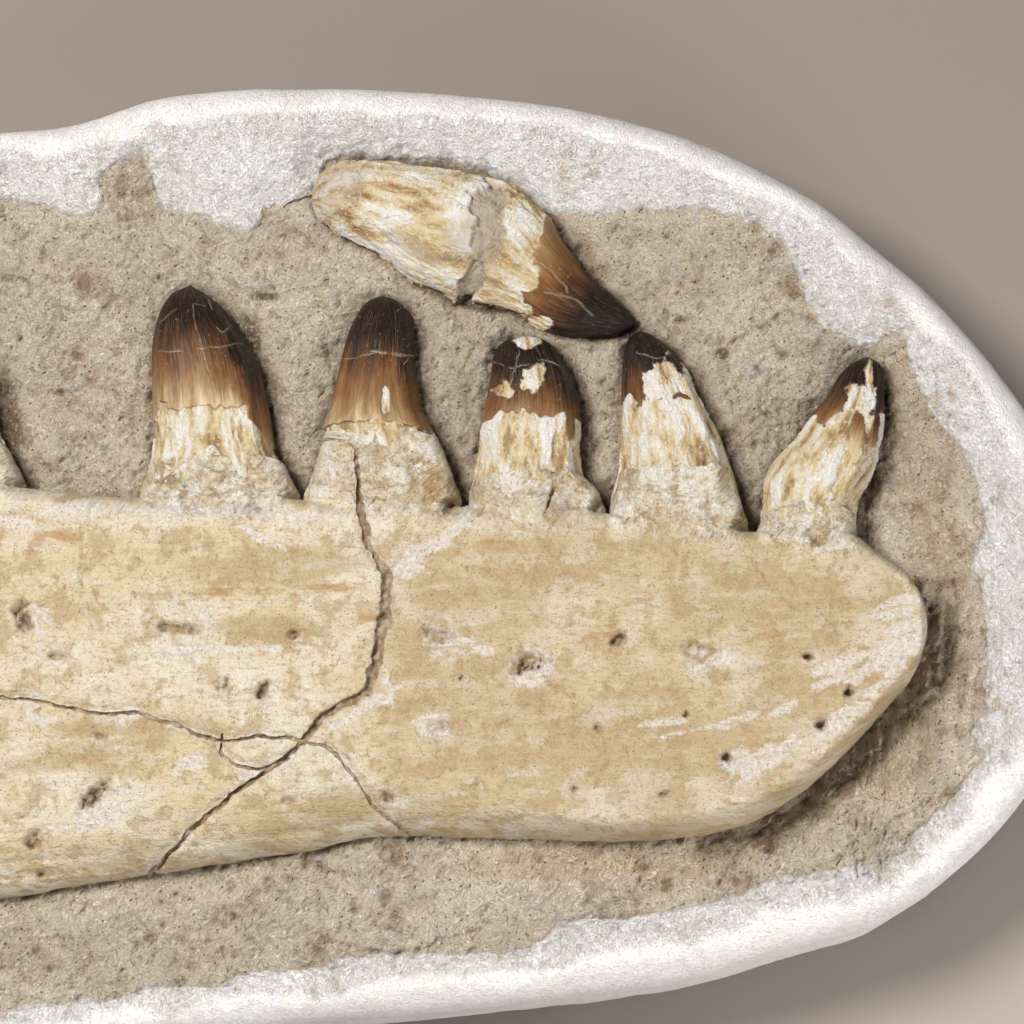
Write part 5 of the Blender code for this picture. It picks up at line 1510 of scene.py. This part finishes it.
def bone_material():
    s = Surface("fossil_bone", 0.62, 0.35)
    along = s.stretched(s.place, 0.2, 1, 1)
    collar = s.attribute("collar")
    cream, butter, straw = (0.64, 0.58, 0.46), (0.56, 0.46, 0.29), (0.42, 0.315, 0.168)
    base = s.mix(s.between(s.noise(30, 4, 0.6), 0.35, 0.62), cream, butter)
    base = s.mix(s.product(s.attribute("tan"), 0.9), base, straw)
    paler = s.product(collar, 0.75)
    base = s.mix(paler, base, (0.76, 0.67, 0.50))
    base = s.mix(s.product(s.between(s.noise(5, 5, 0.7, along), 0.46, 0.66), 0.45), base, (0.60, 0.54, 0.43))
    base = s.mix(s.product(s.between(s.noise(8, 5, 0.7), 0.48, 0.62), 0.65), base, (0.375, 0.265, 0.13))
    base = s.mix(s.product(s.between(s.noise(0.9, 4, 0.65, along), 0.5, 0.7), 0.4), base, (0.33, 0.23, 0.125))
    base = s.mix(s.product(s.between(s.noise(2.0, 4, 0.7), 0.58, 0.68), 0.45), base, (0.33, 0.22, 0.11))
    rust = s.product(s.attribute("rust"), s.between(s.noise(2.5, 4, 0.7, along), 0.35, 0.6), 0.75)
    base = s.mix(rust, base, (0.38, 0.22, 0.08))
    flake = s.attribute("flake")
    crust = s.compute("ADD", s.product(flake, 0.25), s.noise(4.2, 5, 0.72))
    lime = s.product(collar, s.between(crust, 0.58, 0.68))
    base = s.mix(s.product(lime, 0.8), base, (0.82, 0.77, 0.68))
    amber = s.product(collar, s.between(s.noise(3.0, 5, 0.7), 0.54, 0.66))
    base = s.mix(s.product(amber, 0.55), base, (0.56, 0.41, 0.22))
    white = s.product(s.attribute("white"), s.between(s.noise(1.5, 4, 0.7, along), 0.34, 0.5, 0.15, 1.0))
    chalky = s.mix(s.between(s.noise(1.2, 4, 0.7), 0.4, 0.62), (0.66, 0.61, 0.56), (0.52, 0.46, 0.40))
    base = s.mix(s.product(white, 0.85), base, chalky)
    crazing = s.between(s.cells(9, "DISTANCE_TO_EDGE", s.warped(6, 7)), 0.004, 0.016, 1.0, 0.0)
    crazing = s.product(crazing, s.between(s.noise(22, 3), 0.52, 0.66))
    base = s.mix(s.product(crazing, 0.3), base, (0.24, 0.15, 0.075))
    fleck = s.product(s.between(s.cells(1.8), 0.06, 0.14, 1.0, 0.0), s.between(s.noise(5, 3), 0.44, 0.56))
    base = s.mix(s.product(fleck, 0.75), base, (0.22, 0.13, 0.06))
    # Grime and painted shade in the hollows, in dark brown
    hollow_dirt_and_shade = s.product(s.attribute("dirt_and_shade"), s.between(s.noise(1.0, 4, 0.7), 0.2, 0.6, 0.55, 1.0), 0.9)
    base = s.mix(hollow_dirt_and_shade, base, (0.21, 0.125, 0.062))
    s.bump(s.noise(0.8, 4, 0.6, along), 0.22)
    s.bump(s.noise(1.3, 2, 0.6, distortion=2.4), 0.28)
    s.bump(s.noise(2.2, 4, 0.65), 0.6)
    s.bump(s.product(s.noise(1.6, 4, 0.7), collar), 1.2)
    gloss = s.between(s.compute("MAXIMUM", s.attribute("white"), collar), 0, 1, 0.58, 0.85)
    return s.finish(base, gloss)


def tooth_material():
    s = Surface("tooth", 0.3, 0.2)
    rise = s.attribute("rise")
    grain = s.attribute("grain", vector=True)
    fine = s.noise(0.55, 4, 0.65, s.stretched(grain, 1, 0.07, 1))
    broad = s.noise(5, 5, 0.6, s.stretched(grain, 1, 0.35, 1))
    shifted = s.compute("ADD", rise, s.product(s.compute("SUBTRACT", broad, 0.5), 0.55))
    shifted = s.compute("ADD", shifted, s.product(s.compute("SUBTRACT", fine, 0.5), 0.25))
    enamel_colour = s.ramp(shifted, [
        (0.0, (0.53, 0.42, 0.26)), (0.09, (0.38, 0.265, 0.14)), (0.2, (0.25, 0.145, 0.064)),
        (0.36, (0.16, 0.072, 0.026)), (0.53, (0.068, 0.028, 0.013)), (0.68, (0.016, 0.008, 0.005)),
    ])
    scratches = s.between(s.noise(0.3, 3, 0.6, s.stretched(grain, 1, 0.04, 1)), 0.6, 0.74)
    enamel_colour = s.mix(s.product(scratches, 0.3), enamel_colour, (0.42, 0.33, 0.24))
    crumbs = s.between(s.noise(1.0, 5, 0.75), 0.66, 0.72)
    enamel_colour = s.mix(s.product(crumbs, 0.55), enamel_colour, (0.55, 0.46, 0.34))
    patchy = s.noise(5.5, 5, 0.62, s.stretched(grain, 1, 0.45, 1))
    patchy = s.compute("ADD", patchy, s.product(s.compute("SUBTRACT", 0.5, s.attribute("flake")), 0.16))
    cement = s.ramp(patchy, [
        (0.36, (0.78, 0.755, 0.71)), (0.44, (0.73, 0.655, 0.52)), (0.53, (0.66, 0.535, 0.33)),
        (0.61, (0.53, 0.385, 0.20)), (0.72, (0.32, 0.195, 0.09)),
    ])
    cement = s.mix(s.product(s.between(s.noise(1.4, 4, 0.7), 0.56, 0.68), 0.6), cement, (0.78, 0.75, 0.69))
    cement = s.mix(s.product(s.attribute("seam"), 0.35), cement, (0.44, 0.30, 0.15))
    splits = s.between(s.cells(3.6, "DISTANCE_TO_EDGE", s.warped(2.5, 3)), 0.008, 0.03, 1.0, 0.0)
    splits = s.product(splits, s.between(s.noise(5, 3), 0.52, 0.62))
    cement = s.mix(s.product(splits, 0.5), cement, (0.24, 0.15, 0.08))
    stone = s.attribute("stone")
    cement = s.mix(stone, cement, s.mix(s.noise(1.6, 5, 0.7), (0.36, 0.29, 0.21), (0.52, 0.45, 0.36)))
    enamel = s.attribute("enamel")
    colour = s.mix(enamel, cement, enamel_colour)
    colour = s.mix(s.product(s.attribute("hairline"), 0.5), colour, (0.60, 0.52, 0.41))
    bare = s.compute("SUBTRACT", 1.0, enamel)
    s.bump(fine, 0.14)
    s.bump(s.product(s.noise(1.3, 4, 0.72), bare), 1.0)
    worn = s.between(s.noise(3, 5, 0.65), 0.35, 0.65, 0.26, 0.46)
    gloss = s.compute("ADD", s.product(worn, enamel), s.product(bare, 0.85))
    return s.finish(colour, gloss)


def floor_material():
    s = Surface("floor", 0.9, 0.1)
    across = s.tree.nodes.new("ShaderNodeVectorMath")
    across.operation = "DOT_PRODUCT"
    s.link(s.place, across.inputs[0])
    across.inputs[1].default_value = (0.7, -0.7, 0)
    # Painted light: the floor's colour brightens towards the lower right, as if more light fell there
    painted_light_gradient = s.between(across.outputs["Value"], 130, 290)
    colour = s.mix(painted_light_gradient, (0.253, 0.217, 0.19), (0.36, 0.315, 0.278))
    colour = s.mix(s.product(s.between(s.noise(300, 3), 0.3, 0.7), 0.2), colour, (0.29, 0.25, 0.22))
    s.bump(s.noise(1.2, 3), 0.05)
    return s.finish(colour)


FLOOR_REACH = 6.0  # metres


def make_floor():
    mesh = bpy.data.meshes.new("floor")
    corners = [(x * FLOOR_REACH, y * FLOOR_REACH, 0) for x, y in ((-1, -1), (1, -1), (1, 1), (-1, 1))]
    mesh.from_pydata(corners, [], [(0, 1, 2, 3)])
    mesh.materials.append(floor_material())
    floor = bpy.data.objects.new("floor", mesh)
    bpy.context.scene.collection.objects.link(floor)


def aim(item, target):
    item.rotation_euler = (target - item.location).to_track_quat("-Z", "Y").to_euler()


def make_camera():
    """The photo's view, and the point that it is centred on."""
    target = Vector((-MIDDLE[0], -MIDDLE[1], VIEW_LEVEL)) * MILLIMETRE
    camera = bpy.data.objects.new("camera", bpy.data.cameras.new("camera"))
    away = Vector((0, -math.cos(VIEW_SLANT), math.sin(VIEW_SLANT)))
    camera.location = target + away * VIEW_DISTANCE * MILLIMETRE
    camera.data.angle = 2 * math.atan(VIEW_WIDTH / 2 / VIEW_DISTANCE)
    camera.data.clip_start = 0.01
    bpy.context.scene.collection.objects.link(camera)
    aim(camera, target)
    bpy.context.scene.camera = camera
    return target


# A soft key light from the upper left, a weaker one from the lower right, and one low for the floor: place
# and aim in metres from the view's middle, then size, watts and colour
LIGHTS = {
    "key": ((-0.62, 0.26, 1.18), (0, 0, 0), 0.5, 24.5, (1.0, 0.975, 0.945)),
    "fill": ((0.62, -0.72, 0.75), (0, 0, 0), 0.7, 3.0, (1.0, 0.985, 0.965)),
    "low": ((0.42, -0.42, 0.26), (0.17, -0.17, -0.05), 0.3, 2.0, (1.0, 0.98, 0.96)),
}
ROOM_COLOUR = (0.97, 0.98, 1.0, 1)
ROOM_STRENGTH = 0.155


def add_light(name, target, place, aimed, size, power, colour):
    light = bpy.data.objects.new(name, bpy.data.lights.new(name, "AREA"))
    light.data.shape = "DISK"
    light.data.size = size
    light.data.energy = power
    light.data.color = colour
    light.location = target + Vector(place)
    bpy.context.scene.collection.objects.link(light)
    aim(light, target + Vector(aimed))


def make_lights(target):
    """The lights, and a dim room round them."""
    for name, light in LIGHTS.items():
        add_light(name, target, *light)
    world = bpy.data.worlds.new("studio")
    world.use_nodes = True
    world.node_tree.nodes["Background"].inputs["Color"].default_value = ROOM_COLOUR
    world.node_tree.nodes["Background"].inputs["Strength"].default_value = ROOM_STRENGTH
    bpy.context.scene.world = world
    bpy.context.scene.view_settings.view_transform = "Standard"


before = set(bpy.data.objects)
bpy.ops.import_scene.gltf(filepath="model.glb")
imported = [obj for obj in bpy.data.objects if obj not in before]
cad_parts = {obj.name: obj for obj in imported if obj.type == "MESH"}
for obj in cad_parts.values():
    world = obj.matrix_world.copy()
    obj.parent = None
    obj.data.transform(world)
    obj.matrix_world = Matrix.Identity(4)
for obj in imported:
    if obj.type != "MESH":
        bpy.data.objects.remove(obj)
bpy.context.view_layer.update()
make_jacket(plaster_material())
make_rock(rock_material())
make_bone(bone_material(), dust_material())
tooth_look = tooth_material()
make_crowns(tooth_look)
make_loose_tooth(tooth_look)
make_floor()
make_lights(make_camera())
